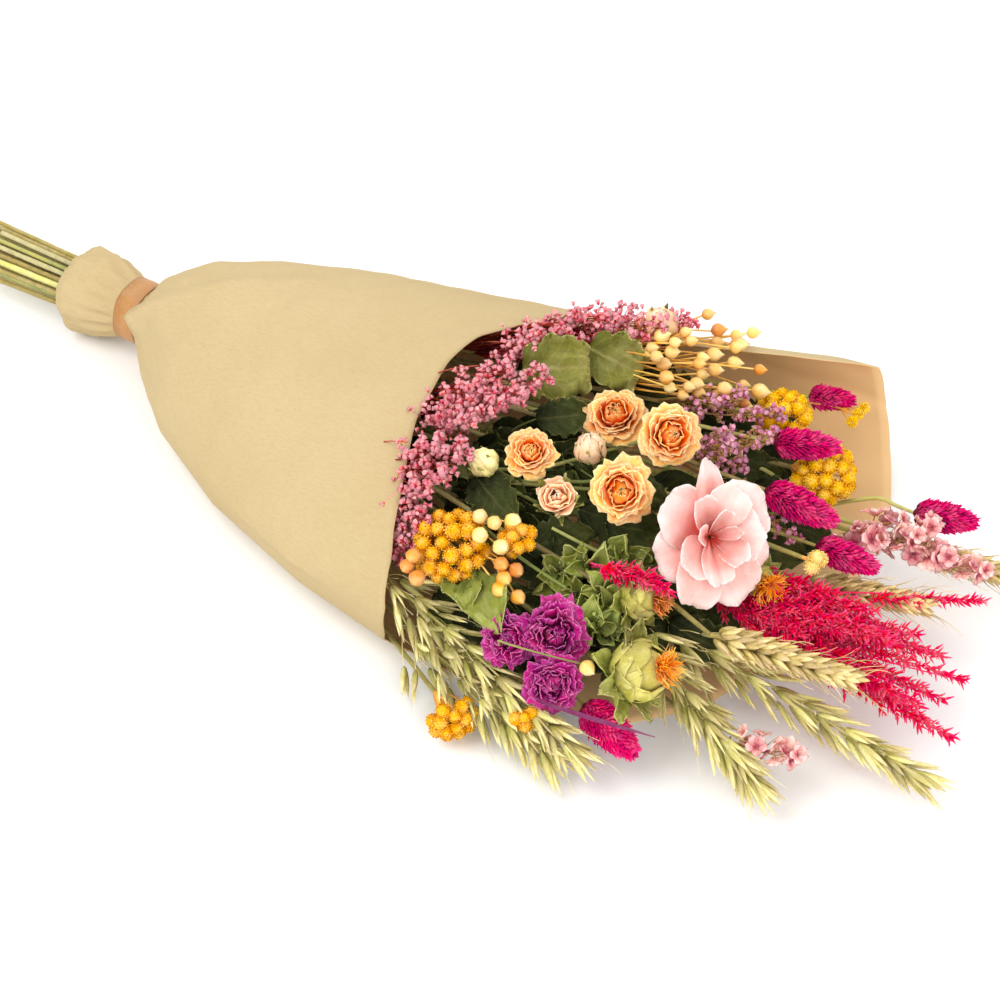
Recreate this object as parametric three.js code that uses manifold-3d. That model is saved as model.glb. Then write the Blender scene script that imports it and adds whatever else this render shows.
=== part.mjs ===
// A dried flower bouquet, wrapped in a cone of kraft paper and lying on its side.
// Millimetres, +Z up. While it is built, x = 0 is the middle of the tie, +x runs from the cut stems
// to the flowers, +y is the far side and z = 0 is the surface that the bouquet lies on.
// At the end the group is moved so that its origin is the middle of the bounding box's base.
import * as THREE from "three";
import { mergeVertices } from "three/addons/utils/BufferGeometryUtils.js";
import Module from "manifold-3d";

const wasm = await Module();
wasm.setup();

const tieHeight = 27; // the middle of the tie above the surface
const neckRadius = 17; // the paper's outside where it is tied
const tieHalfWidth = 7;
const paper = 0.8; // thickness of the kraft paper and of the tie
const gap = 0.35; // kept between neighbouring nodes
const stemPitch = 3.5; // spacing of the stems where they are tied
const stemRadius = 1.5;
const shortestTail = 96; // cut stems behind the tie
const tailSpread = 36;

const v = (x, y, z) => new THREE.Vector3(x, y, z);
const lerp = THREE.MathUtils.lerp;
const smooth = THREE.MathUtils.smoothstep;
const golden = Math.PI * (3 - Math.sqrt(5));

// The same number from 0 to 1 for the same seed.
function draw(seed) {
  const x = Math.sin(seed * 12.9898 + 4.1) * 43758.5453;
  return x - Math.floor(x);
}

// Value at x on straight lines through [x, value] points.
function along(points, x) {
  let i = 1;
  while (i < points.length - 1 && x > points[i][0]) i += 1;
  const [a, b] = [points[i - 1], points[i]];
  const t = Math.min(1, Math.max(0, (x - a[0]) / (b[0] - a[0])));
  return lerp(a[1], b[1], t);
}

// Solids

function solidFrom(geometry) {
  const bare = new THREE.BufferGeometry();
  bare.setAttribute("position", geometry.getAttribute("position"));
  if (geometry.index) bare.setIndex(geometry.index);
  const merged = mergeVertices(bare, 1e-4);
  const index = merged.index.array;
  const kept = [];
  for (let i = 0; i < index.length; i += 3) {
    const [a, b, c] = [index[i], index[i + 1], index[i + 2]];
    if (a !== b && b !== c && c !== a) kept.push(a, b, c);
  }
  const vertProperties = new Float32Array(merged.attributes.position.array);
  return new wasm.Manifold(new wasm.Mesh({ numProp: 3, vertProperties, triVerts: new Uint32Array(kept) }));
}

function geometryFrom(solid) {
  const mesh = solid.getMesh();
  const geometry = new THREE.BufferGeometry();
  const positions = new Float32Array(mesh.numVert * 3);
  for (let i = 0; i < mesh.numVert; i += 1) {
    positions.set(mesh.vertProperties.subarray(i * mesh.numProp, i * mesh.numProp + 3), i * 3);
  }
  geometry.setAttribute("position", new THREE.BufferAttribute(positions, 3));
  geometry.setIndex(new THREE.BufferAttribute(new Uint32Array(mesh.triVerts), 1));
  geometry.computeVertexNormals();
  return geometry;
}

// Turns a geometry whose own axis is +Z to point along axis, and moves it to a place.
function place(geometry, at, axis, spin = 0) {
  const turn = new THREE.Quaternion().setFromUnitVectors(v(0, 0, 1), axis.clone().normalize());
  geometry.rotateZ(spin);
  geometry.applyQuaternion(turn);
  return geometry.translate(at.x, at.y, at.z);
}

// A closed surface from rings of points, each ring closed by a point or by the next ring.
function ringed(rings, first, last) {
  const count = rings[0].length;
  const points = [first, ...rings.flat(), last];
  const at = (ring, j) => 1 + ring * count + (j % count);
  const faces = [];
  for (let j = 0; j < count; j += 1) {
    faces.push(0, at(0, j + 1), at(0, j));
    for (let i = 0; i + 1 < rings.length; i += 1) {
      faces.push(at(i, j), at(i, j + 1), at(i + 1, j + 1), at(i, j), at(i + 1, j + 1), at(i + 1, j));
    }
    faces.push(points.length - 1, at(rings.length - 1, j), at(rings.length - 1, j + 1));
  }
  const geometry = new THREE.BufferGeometry().setFromPoints(points);
  return geometry.setIndex(faces);
}

// A thin leaf or petal from its root along +X, with its upper face to +Z: halfWidth, rise and reach are
// functions of the way along it, from 0 to 1, and both faces are split into the same triangles.
function blade({ length, halfWidth, rise, cup = 0, thick = 1, across = 2, steps = 4, twist = 0 }) {
  const middle = (i, j) => {
    const side = (2 * i) / across - 1;
    const t = j / steps;
    const half = halfWidth(t) * length;
    const turn = twist * t;
    return v(
      length * t,
      half * side * Math.cos(turn),
      length * rise(t) + cup * half * side * side + half * side * Math.sin(turn),
    );
  };
  const faceNormal = (i, j) => {
    const alongIt = middle(i, Math.min(steps, j + 0.5)).sub(middle(i, Math.max(0, j - 0.5)));
    const acrossIt = middle(i + 0.5, j).sub(middle(i - 0.5, j));
    return alongIt.cross(acrossIt).normalize();
  };
  const points = [];
  const upper = [];
  const lower = [];
  for (let i = 0; i <= across; i += 1) {
    for (let j = 0; j <= steps; j += 1) {
      const edge = i === 0 || j === 0 || i === across || j === steps;
      const p = middle(i, j);
      if (edge) {
        upper.push(points.push(p) - 1);
        lower.push(upper[upper.length - 1]);
      } else {
        const n = faceNormal(i, j).multiplyScalar(thick / 2);
        upper.push(points.push(p.clone().add(n)) - 1);
        lower.push(points.push(p.clone().sub(n)) - 1);
      }
    }
  }
  const faces = [];
  const id = (i, j) => i * (steps + 1) + j;
  for (let i = 0; i < across; i += 1) {
    for (let j = 0; j < steps; j += 1) {
      const quad = [id(i, j), id(i, j + 1), id(i + 1, j + 1), id(i + 1, j)];
      const split = i < across / 2 ? [0, 1, 2, 0, 2, 3] : [0, 1, 3, 1, 2, 3];
      for (let k = 0; k < 6; k += 3) {
        const [a, b, c] = [quad[split[k]], quad[split[k + 1]], quad[split[k + 2]]];
        faces.push(upper[a], upper[b], upper[c], lower[a], lower[c], lower[b]);
      }
    }
  }
  return new THREE.BufferGeometry().setFromPoints(points).setIndex(faces);
}

// A tapered round piece from a to b.
function limb(a, b, radiusA, radiusB, sides = 3) {
  const length = a.distanceTo(b);
  const geometry = new THREE.CylinderGeometry(radiusB, radiusA, length, sides, 1);
  geometry.rotateX(Math.PI / 2);
  geometry.translate(0, 0, length / 2);
  return place(geometry, a, b.clone().sub(a));
}

// Straight lines through points, so that a tube along them bends at the points themselves.
class Bends extends THREE.Curve {
  constructor(points) {
    super();
    this.points = points;
  }

  getPoint(t, target = v(0, 0, 0)) {
    const last = this.points.length - 1;
    const k = Math.min(last - 1, Math.floor(t * last));
    return target.lerpVectors(this.points[k], this.points[k + 1], t * last - k);
  }

  getPointAt(u, target) {
    return this.getPoint(u, target);
  }

  getTangentAt(u) {
    const last = this.points.length - 1;
    const k = Math.round(u * last);
    const before = this.points[Math.max(0, k - 1)];
    const after = this.points[Math.min(last, k + 1)];
    return after.clone().sub(before).normalize();
  }
}

// A stem that bends at points.
function stem(points, radius, sides = 4) {
  const section = new THREE.Shape();
  for (let i = 0; i < sides; i += 1) {
    const angle = (2 * Math.PI * i) / sides;
    const [x, y] = [radius * Math.cos(angle), radius * Math.sin(angle)];
    if (i === 0) section.moveTo(x, y);
    else section.lineTo(x, y);
  }
  section.closePath();
  const steps = points.length - 1;
  return new THREE.ExtrudeGeometry(section, { steps, bevelEnabled: false, extrudePath: new Bends(points) });
}

// A closed head on +Z whose surface rises to a point at every third crossing of a triangular net.
// profile gives its radius along it; raise and sink scale that radius, and lean moves the points on.
// A twig behind it begins with a ring of its own.
function pointed(shape) {
  const { length, profile, columns, rows } = shape;
  const { raise = 1.15, sink = 0.8, lean = 0.05, seed = 0, uneven = 0.2 } = shape;
  const rings = Array.from({ length: rows }, (_, i) => {
    const t = (i + 0.6) / rows;
    return Array.from({ length: columns }, (_, j) => {
      const up = (i + j) % 3 === 0;
      const angle = (2 * Math.PI * (j - i / 2)) / columns;
      const wobble = 1 + uneven * (2 * draw(seed + i * 17 + j) - 1);
      const r = profile(t) * (up ? raise * wobble : sink);
      const z = length * (t + (up ? lean * wobble : -lean / 3));
      return v(r * Math.cos(angle), r * Math.sin(angle), z);
    });
  });
  const foot = v(0, 0, -2);
  if (shape.twig) {
    const { back, radius } = shape.twig;
    foot.z = -back - 0.8;
    rings.unshift(rings[0].map((_, j) => {
      const angle = (2 * Math.PI * (j + 0.5)) / columns;
      return v(radius * Math.cos(angle), radius * Math.sin(angle), -back);
    }));
  }
  return ringed(rings, foot, v(0, 0, length * (1 + lean)));
}

function ball(at, radius, squash = 1, axis = v(0, 0, 1)) {
  return place(new THREE.IcosahedronGeometry(radius, 0).scale(1, 1, squash), at, axis);
}

// A spikelet on a fine stalk: pointed at both ends, with four sides and its belly near its middle.
function grain(at, axis, stalk, length, width, spin = 0) {
  const geometry = new THREE.OctahedronGeometry(1, 0).scale(width / 2, width / 2, 1);
  const position = geometry.getAttribute("position");
  for (let i = 0; i < position.count; i += 1) {
    const z = Math.round(position.getZ(i));
    position.setZ(i, [0, stalk + 0.45 * length, stalk + length][z + 1]);
  }
  return place(geometry, at, axis, spin);
}

// Kraft paper

// Sections of the paper at x: half widths to the far and near side, its top, middle and bottom heights,
// and how square its near side and base are.
const paperSections = [
  { x: -42, far: 24, near: 24, top: 48, mid: 24, low: 0, flat: 1, square: 1 },
  { x: -22, far: 20.5, near: 20.5, top: 47, mid: 26, low: 5.5, flat: 1, square: 1 },
  { x: -8, far: 17, near: 17, top: 44, mid: tieHeight, low: 10, flat: 1, square: 1 },
  { x: 8, far: 17, near: 17, top: 44, mid: tieHeight, low: 10, flat: 1, square: 1 },
  { x: 17, far: 32, near: 34, top: 54, mid: 27, low: 5, flat: 1.1, square: 1 },
  { x: 34, far: 48, near: 58, top: 61, mid: 28, low: 0, flat: 1.35, square: 0.95 },
  { x: 64, far: 62, near: 80, top: 68, mid: 31, low: 0, flat: 1.4, square: 0.9 },
  { x: 120, far: 80, near: 106, top: 77, mid: 36, low: 0, flat: 1.5, square: 0.8 },
  { x: 190, far: 95, near: 126, top: 85, mid: 40, low: 0, flat: 1.5, square: 0.75 },
  { x: 300, far: 119, near: 142, top: 94, mid: 44, low: 0, flat: 1.5, square: 0.75 },
  { x: 430, far: 138, near: 150, top: 96, mid: 44, low: 0, flat: 1.5, square: 0.8 },
];
// How far the paper's mouth reaches at each angle round it: 0 is the far side, 90 the top.
const paperEdge = [
  [0, 391], [20, 389], [30, 388], [38, 366], [50, 262], [60, 222], [75, 207], [90, 205], [110, 214],
  [130, 231], [150, 246], [170, 253], [190, 252], [205, 246], [215, 258], [225, 312], [235, 366],
  [250, 394], [270, 412], [290, 420], [310, 416], [340, 399], [360, 391],
];
const paperColumns = 26;
const straightRows = 7;
const mouthRows = 3;

function paperPoint(x, degrees) {
  const side = (key) => along(paperSections.map((s) => [s.x, s[key]]), x);
  const angle = THREE.MathUtils.degToRad(degrees);
  const [mid, lift] = [side("mid"), Math.sin(angle)];
  const crumple = smooth(-x, 8, 40) + 0.6 * (smooth(x, 8, 20) - smooth(x, 30, 80));
  const pleat = 1 + 0.05 * Math.sin(7 * angle + 1) * crumple;
  const across = Math.abs(Math.cos(angle)) ** (lift < 0 ? side("square") : 1);
  const y = Math.cos(angle) > 0 ? side("far") * across : -side("near") * across;
  if (lift >= 0) return v(x, y * pleat, mid + (side("top") - mid) * lift * pleat);
  return v(x, y * pleat, Math.max(side("low"), mid + (mid - side("low")) * side("flat") * lift));
}

function paperWrap() {
  const xs = paperSections.slice(0, straightRows).map((s) => s.x);
  const rowPoint = (row, column) => {
    const degrees = (360 * column) / paperColumns;
    if (row < straightRows) return paperPoint(xs[row], degrees);
    const share = (row - straightRows + 1) / mouthRows;
    const round = ((degrees % 360) + 360) % 360;
    return paperPoint(lerp(xs[straightRows - 1], along(paperEdge, round), share), degrees);
  };
  const rows = straightRows + mouthRows;
  const inward = (row, column) => {
    const before = rowPoint(Math.max(0, row - 1), column);
    const after = rowPoint(Math.min(rows - 1, row + 1), column);
    const round = rowPoint(row, column + 1).sub(rowPoint(row, column - 1));
    const inside = after.sub(before).cross(round).normalize();
    return rowPoint(row, column).addScaledVector(inside, paper);
  };
  const points = [];
  for (let side = 0; side < 2; side += 1) {
    for (let row = 0; row < rows; row += 1) {
      for (let column = 0; column < paperColumns; column += 1) {
        points.push(side ? inward(row, column) : rowPoint(row, column));
      }
    }
  }
  const id = (side, row, column) => (side * rows + row) * paperColumns + (column % paperColumns);
  const faces = [];
  for (let column = 0; column < paperColumns; column += 1) {
    for (let row = 0; row + 1 < rows; row += 1) {
      for (const side of [0, 1]) {
        const [a, b] = [id(side, row, column), id(side, row + 1, column)];
        const [c, d] = [id(side, row + 1, column + 1), id(side, row, column + 1)];
        faces.push(...(side ? [a, b, c, a, c, d] : [a, c, b, a, d, c]));
      }
    }
    for (const row of [0, rows - 1]) {
      const [a, b] = [id(0, row, column), id(0, row, column + 1)];
      const [c, d] = [id(1, row, column + 1), id(1, row, column)];
      faces.push(...(row ? [a, b, c, a, c, d] : [a, c, b, a, d, c]));
    }
  }
  return new THREE.BufferGeometry().setFromPoints(points).setIndex(faces);
}

function tieBand() {
  const inner = neckRadius + 0.45;
  const outer = inner + paper;
  const profile = [
    [inner, -tieHalfWidth], [outer, -tieHalfWidth],
    [outer, tieHalfWidth], [inner, tieHalfWidth],
    [inner, -tieHalfWidth],
  ].map(([x, y]) => new THREE.Vector2(x, y));
  const band = new THREE.LatheGeometry(profile, 18);
  return band.rotateZ(-Math.PI / 2).translate(0, 0, tieHeight);
}

// Plants

const plants = new Map();
const pieces = []; // every solid that is placed, with its plant's name and its box

function boxOf(solid) {
  const { min, max } = solid.boundingBox();
  return new THREE.Box3(v(...min), v(...max));
}

function keep(name, solid) {
  pieces.push({ name, solid, box: boxOf(solid) });
  plants.get(name).parts.push(solid);
}

function isClear(name, solid) {
  const box = boxOf(solid);
  const near = pieces.filter((p) => p.name !== name && p.box.intersectsBox(box));
  return !near.some((p) => p.solid.intersect(solid).volume() > 1e-7);
}

// Adds a piece that its plant can't go without.
function fix(name, geometry) {
  keep(name, solidFrom(geometry));
}

// Adds the first of several choices that stays clear of the other plants, and returns that choice.
// make takes a choice and how much to swell it, so that a gap is left round it.
function tryOn(name, make, choices = [0]) {
  const chosen = choices.find((choice) => isClear(name, solidFrom(make(choice, gap))));
  if (chosen !== undefined) keep(name, solidFrom(make(chosen, 0)));
  return chosen;
}

function plant(name, colour, roughness = 0.85) {
  plants.set(name, { colour, roughness, parts: [] });
}

// Colours of the dried material
const colours = {
  kraft: "#dcc08c", band: "#cf9a68", stem: "#9a9a5c", leaf: "#66703c", peach: "#eda468", purple: "#8d1f68",
  pink: "#f0b7b4", magenta: "#c20f78", gold: "#e0a01c", cream: "#e3c07a",
  broom: "#dd7f93", wheat: "#c3bb7d",
  plume: "#d3123f", tuft: "#e8841a", bract: "#a5aa56", lilac: "#a878a8", larkspur: "#cf8590",
};

// Roses and buds: middle, direction, radius and the spray that carries each
const peachRoses = [
  { at: v(279, -42, 94), axis: v(0.2, -0.4, 0.88), radius: 15.5, spray: "peach_spray_1" },
  { at: v(297, 9, 87), axis: v(0.1, -0.35, 0.9), radius: 16.5, spray: "peach_spray_2" },
  { at: v(335, -6, 105), axis: v(0.55, -0.5, 0.7), radius: 17, spray: "peach_spray_3" },
  { at: v(328, -40, 92), axis: v(0.45, -0.65, 0.65), radius: 18.5, spray: "peach_spray_3" },
];
const peachBuds = [
  { at: v(301, -23, 95), axis: v(0.2, -0.5, 0.85), radius: 8, height: 18, spray: "peach_spray_3" },
  { at: v(304, -61, 85), axis: v(0.3, -0.7, 0.65), radius: 11, height: 20, spray: "peach_spray_3" },
  { at: v(259, -56, 90), axis: v(-0.5, -0.5, 0.75), radius: 7.5, height: 17, spray: "peach_spray_1" },
  { at: v(285, 76, 91), axis: v(0.3, 0.5, 0.8), radius: 8, height: 16, spray: "peach_spray_4" },
];
const purpleRoses = [
  { at: v(337, -107, 62), axis: v(0.4, -0.6, 0.7), radius: 16, spray: "purple_spray" },
  { at: v(311, -122, 50), axis: v(0.1, -0.7, 0.7), radius: 13, spray: "purple_spray" },
  { at: v(349, -135, 42), axis: v(0.45, -0.75, 0.5), radius: 12.5, spray: "purple_spray" },
];
const sola = { at: v(372, -32, 78), axis: v(0.5, -0.52, 0.7), radius: 34 };

// Domes of round golden heads, numbered in this order
const domes = [
  { at: v(266, -93, 66), axis: v(0.2, -0.6, 0.8), spread: 17, count: 14, radius: 3.9 },
  { at: v(295, -80, 76), axis: v(0.3, -0.6, 0.75), spread: 8.5, count: 5, radius: 3.6 },
  { at: v(300, -146, 16), axis: v(0.85, -0.5, -0.15), spread: 12.5, count: 9, radius: 3.7 },
  { at: v(337, -141, 34), axis: v(0.7, -0.6, 0.3), spread: 6.5, count: 3, radius: 3.9 },
  { at: v(358, 76, 64), axis: v(0.35, -0.5, 0.8), spread: 14, count: 10, radius: 3.7 },
  { at: v(391, 57, 56), axis: v(0.5, -0.4, 0.75), spread: 16, count: 11, radius: 3.9 },
  { at: v(418, -11, 68), axis: v(0.7, -0.3, 0.5), spread: 6, count: 3, radius: 4 },
].map((dome, i) => ({ ...dome, name: `golden_buttons_${i + 1}` }));
// Ears of canary grass, from the foot
const ears = [
  { name: "phalaris_1", at: v(360, 103, 60), axis: v(0.98, 0.02, 0.14), length: 25, radius: 6.2 },
  { name: "phalaris_2", at: v(368, 44, 80), axis: v(0.85, 0.35, -0.15), length: 34, radius: 8.5 },
  { name: "phalaris_3", at: v(381, 12, 81), axis: v(0.95, 0.02, -0.3), length: 40, radius: 9.5 },
  { name: "phalaris_4", at: v(414, 4, 58), axis: v(0.95, 0.08, -0.25), length: 33, radius: 8 },
  { name: "phalaris_5", at: v(439, 62, 53), axis: v(0.92, 0.28, -0.18), length: 33, radius: 9 },
  { name: "phalaris_6", at: v(356, -115, 31), axis: v(0.9, -0.38, -0.22), length: 37, radius: 11.5 },
];
const thistles = [
  { name: "safflower_1", at: v(366, -108, 50), axis: v(0.75, 0.1, 0.5), radius: 13, tuft: 13 },
  { name: "safflower_2", at: v(392, -24, 54), axis: v(0.6, -0.35, 0.35), radius: 7.5, tuft: 11 },
  { name: "safflower_3", at: v(350, -76, 64), axis: v(0.75, 0.1, 0.25), radius: 9.5, tuft: 9 },
];

// Other stems: where the spike, spray or pods begin
const otherHeads = [
  ["sola_stem", 350, -12, 50, colours.stem], ["flax_1", 258, 56, 68, colours.cream],
  ["flax_2", 258, -70, 54, colours.cream], ["flax_3", 300, -96, 52, colours.cream],
  ["broom_1", 212, -66, 56, colours.broom], ["broom_2", 212, -22, 68, colours.broom],
  ["broom_3", 212, 36, 66, colours.broom], ["oats_1", 250, -114, 46, colours.wheat],
  ["oats_2", 262, -120, 24, colours.wheat], ["oats_3", 380, -84, 38, colours.wheat],
  ["oats_4", 404, -62, 34, colours.wheat], ["wheat_1", 398, -78, 68, colours.wheat],
  ["wheat_2", 412, -4, 34, colours.wheat], ["wheat_3", 436, 58, 28, colours.wheat],
  ["plume_1", 384, -38, 46, colours.plume], ["plume_2", 322, -56, 54, colours.plume],
  ["leafy_sprig", 318, -72, 46, colours.leaf], ["statice_1", 304, 56, 62, colours.lilac],
  ["statice_2", 334, 26, 62, colours.lilac], ["larkspur_1", 404, 40, 32, colours.larkspur],
  ["larkspur_2", 424, 46, 44, colours.larkspur], ["larkspur_3", 408, -92, 20, colours.larkspur],
  ["peach_spray_1", 226, -44, 56, colours.leaf], ["peach_spray_2", 256, 0, 52, colours.leaf],
  ["peach_spray_3", 256, -34, 54, colours.leaf], ["peach_spray_4", 244, 76, 56, colours.leaf],
  ["purple_spray", 284, -98, 37, colours.leaf],
];
const stems = [
  ...otherHeads.map(([name, x, y, z, colour]) => ({ name, head: v(x, y, z), colour })),
  ...domes.map(({ name, at, axis, spread }) => {
    return { name, head: at.clone().addScaledVector(axis, -0.4 * spread), colour: colours.gold };
  }),
  ...ears.map(({ name, at }) => ({ name, head: at, colour: colours.magenta })),
  ...thistles.map(({ name, at }) => ({ name, head: at, colour: colours.bract })),
];
// Stations along x where the stems are kept apart, and places between them where that is looked at
const stations = [8, 70, 130, 190, 230, 270, 300, 330, 360, 390, 420];
const samplePlaces = Array.from({ length: 70 }, (_, i) => 8 + 6 * i);
const stemSpace = 2 * stemRadius + 1.8;

// Free places in the tie, on a triangular lattice from the middle outwards.
function tiePlaces(count) {
  const found = [];
  for (let row = -5; row <= 5; row += 1) {
    for (let k = -5; k <= 5; k += 1) {
      found.push([stemPitch * (k + (row % 2 ? 0.5 : 0)), stemPitch * 0.866 * row]);
    }
  }
  return found.sort((a, b) => Math.hypot(...a) - Math.hypot(...b)).slice(0, count);
}

// Gives each stem the place in the tie that suits its direction.
// Two stems swap their places while that brings them nearer.
function assignPlaces() {
  const places = tiePlaces(stems.length);
  const reach = Math.hypot(...places[places.length - 1]);
  stems.forEach((s, i) => {
    const aim = [s.head.y / s.head.x / 0.42, (s.head.z - 44) / s.head.x / 0.13];
    const size = Math.max(1, Math.hypot(...aim));
    s.aim = aim.map((c) => (c / size) * reach);
    s.place = places[i];
  });
  const cost = (s, p) => (s.aim[0] - p[0]) ** 2 + (s.aim[1] - p[1]) ** 2;
  let swapped = true;
  while (swapped) {
    swapped = false;
    for (const a of stems) {
      for (const b of stems) {
        if (cost(a, a.place) + cost(b, b.place) > cost(a, b.place) + cost(b, a.place) + 1e-9) {
          [a.place, b.place] = [b.place, a.place];
          swapped = true;
        }
      }
    }
  }
}

// Moves a away from the line along x through centre, by a share of what it lacks.
function pushFrom(a, centre, least, share) {
  const [dy, dz] = [a.y - centre.y, a.z - centre.z];
  const distance = Math.hypot(dy, dz) || 1e-3;
  if (distance >= least) return;
  a.y += (dy / distance) * (least - distance) * share;
  a.z += (dz / distance) * (least - distance) * share;
}

// Finds the middle of each stem at each station, on the line to its head but clear of its neighbours.
function routeStems(obstacles) {
  for (const s of stems) {
    s.middle = stations.filter((x) => x < s.head.x - 15).map((x) => {
      const t = (x - stations[0]) / (s.head.x - stations[0]);
      return v(x, lerp(s.place[0], s.head.y, t), lerp(tieHeight + s.place[1], s.head.z, t));
    });
  }
  for (let round = 0; round < 60; round += 1) {
    for (let k = 1; k < stations.length; k += 1) {
      const here = stems.filter((s) => s.middle.length > k);
      for (const a of here) {
        for (const b of here) {
          if (a === b) continue;
          const before = b.middle[k].clone();
          pushFrom(b.middle[k], a.middle[k], stemSpace, 0.5);
          pushFrom(a.middle[k], before, stemSpace, 0.5);
        }
        for (const o of obstacles) {
          const inside = o.radius ** 2 - (stations[k] - o.at.x) ** 2;
          if (o.name !== a.name && inside > 0) pushFrom(a.middle[k], o.at, Math.sqrt(inside) + 1.5, 0.5);
        }
        a.middle[k].z = Math.max(a.middle[k].z, stemRadius + paper + 1.5);
      }
    }
  }
  for (const s of stems) {
    s.line = [v(stations[0], s.place[0], tieHeight + s.place[1]), ...s.middle.slice(1), s.head];
    s.samples = samplePlaces.filter((x) => x <= s.head.x).map((x) => pointOn(s.line, x));
  }
}

function pointOn(line, x) {
  return v(x, along(line.map((p) => [p.x, p.y]), x), along(line.map((p) => [p.x, p.z]), x));
}

// Pairs of stems that come too near each other between two stations.
function tangles() {
  const found = [];
  stems.forEach((a, i) => {
    for (const b of stems.slice(i + 1)) {
      const shared = Math.min(a.samples.length, b.samples.length);
      const near = (p, k) => k < shared && p.distanceTo(b.samples[k]) < 2 * stemRadius + gap + 0.1;
      if (a.samples.some(near)) found.push([a, b]);
    }
  });
  return found;
}

// Swaps the places in the tie of stems that would cross, while that leaves fewer crossings.
function untangle(obstacles) {
  routeStems(obstacles);
  let before = tangles();
  for (let pass = 0; pass < 3 && before.length > 0; pass += 1) {
    for (const [a, b] of before) {
      [a.place, b.place] = [b.place, a.place];
      routeStems(obstacles);
      const after = tangles();
      if (after.length < before.length) before = after;
      else [a.place, b.place] = [b.place, a.place];
    }
    routeStems(obstacles);
  }
}

// Leaves out the points that lie on the line between their neighbours.
function straightened(points) {
  const kept = [points[0]];
  for (let i = 1; i + 1 < points.length; i += 1) {
    const line = new THREE.Line3(kept[kept.length - 1], points[i + 1]);
    const nearest = line.closestPointToPoint(points[i], true, v(0, 0, 0));
    if (nearest.distanceTo(points[i]) > 0.7 || i === 1) kept.push(points[i]);
  }
  kept.push(points[points.length - 1]);
  return kept;
}

const thin = /flax|broom_[13]|statice|larkspur|golden|peach/; // plants with three-sided stems

// A plant's stem from its cut end to the foot of its head.
function growStem(s, number) {
  plant(s.name, s.colour);
  const tail = -shortestTail - tailSpread * draw(number + 1);
  const [y, z] = s.place;
  const end = v(tail, 1.35 * y + draw(number) - 0.5, tieHeight - 2 + 1.35 * z + draw(number + 9) - 0.5);
  s.line = straightened([end, ...s.line]);
  fix(s.name, stem(s.line, stemRadius, thin.test(s.name) ? 3 : 4));
}

// The place of a plant's stem at x.
function stemAt(name, x) {
  return pointOn(stems.find((one) => one.name === name).line, x);
}

// Blooms

// Petals in rounds, as one surface that runs from the foot at z = 0 up to each rim and down behind it.
// Each turn of it has a reach, a rise, how deep the petals are notched, and their phase.
function petalParts(radius, height, petals, perPetal, turns, seed) {
  const count = petals * perPetal;
  const rings = turns.map(({ reach, rise, notch = 0, phase = 0 }, k) =>
    Array.from({ length: count }, (_, j) => {
      const share = ((j + phase) % perPetal) / perPetal;
      const fray = 0.25 * draw(seed * 37 + k * 101 + j);
      const lobe = 1 - notch * (1 - Math.sin(Math.PI * share) + fray);
      const angle = (2 * Math.PI * j) / count;
      const r = radius * reach * lobe;
      return v(r * Math.cos(angle), r * Math.sin(angle), height * rise * (0.7 + 0.3 * lobe));
    }),
  );
  return ringed(rings, v(0, 0, -0.5), v(0, 0, height));
}

const roseTurns = [
  { reach: 0.55, rise: 0.16 },
  { reach: 1, rise: 0.62, notch: 0.3 },
  { reach: 0.62, rise: 0.42 },
  { reach: 0.8, rise: 0.86, notch: 0.22, phase: 1 },
  { reach: 0.48, rise: 0.62 },
  { reach: 0.55, rise: 1, notch: 0.25, phase: 2 },
  { reach: 0.28, rise: 0.72 },
  { reach: 0.2, rise: 1.02 },
];
function roseParts(radius, height, petals, seed) {
  const foot = limb(v(0, 0, -4), v(0, 0, height * 0.16), 1.8, radius * 0.4, 5);
  return [petalParts(radius, height, petals, 3, roseTurns, seed), foot];
}

// A closed bud, with the edges of its outer petals standing out.
function budPart(radius, height) {
  const profile = [[0.6, 0.08], [1, 0.4], [0.84, 0.74], [0.36, 0.97]];
  const rings = profile.map(([r, z], k) =>
    Array.from({ length: 6 }, (_, j) => {
      const angle = (2 * Math.PI * (j + k * 0.3)) / 6;
      const ridge = radius * r * (j % 2 ? 1.12 : 0.92);
      return v(ridge * Math.cos(angle), ridge * Math.sin(angle), height * z);
    }),
  );
  return ringed(rings, v(0, 0, -3), v(0, 0, height));
}

// A flower of broad thin petals cut from pith: three rounds, each steeper than the last
const solaTurns = [
  { reach: 0.34, rise: 0.05 },
  { reach: 0.78, rise: 0.22, notch: 0.25 },
  { reach: 1, rise: 0.3, notch: 0.42 },
  { reach: 0.7, rise: 0.3, notch: 0.2 },
  { reach: 0.3, rise: 0.22 },
  { reach: 0.72, rise: 0.72, notch: 0.4, phase: 2 },
  { reach: 0.25, rise: 0.34 },
  { reach: 0.4, rise: 1, notch: 0.35, phase: 1 },
  { reach: 0.14, rise: 0.42 },
];
function solaParts(radius) {
  const foot = limb(v(0, 0, -4), v(0, 0, 2), 2, radius * 0.25, 6);
  return [petalParts(radius, radius * 0.75, 6, 4, solaTurns, 3), foot];
}

const earProfile = (radius) => (t) => radius * Math.sin(Math.PI * Math.min(0.96, t ** 0.75)) ** 0.5;
const globeProfile = (radius) => (t) => radius * Math.sin(Math.PI * (0.08 + 0.8 * t)) ** 0.6;
const sprigProfile = (radius) => (t) => radius * (0.55 + 0.45 * Math.sin(Math.PI * t));

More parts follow.
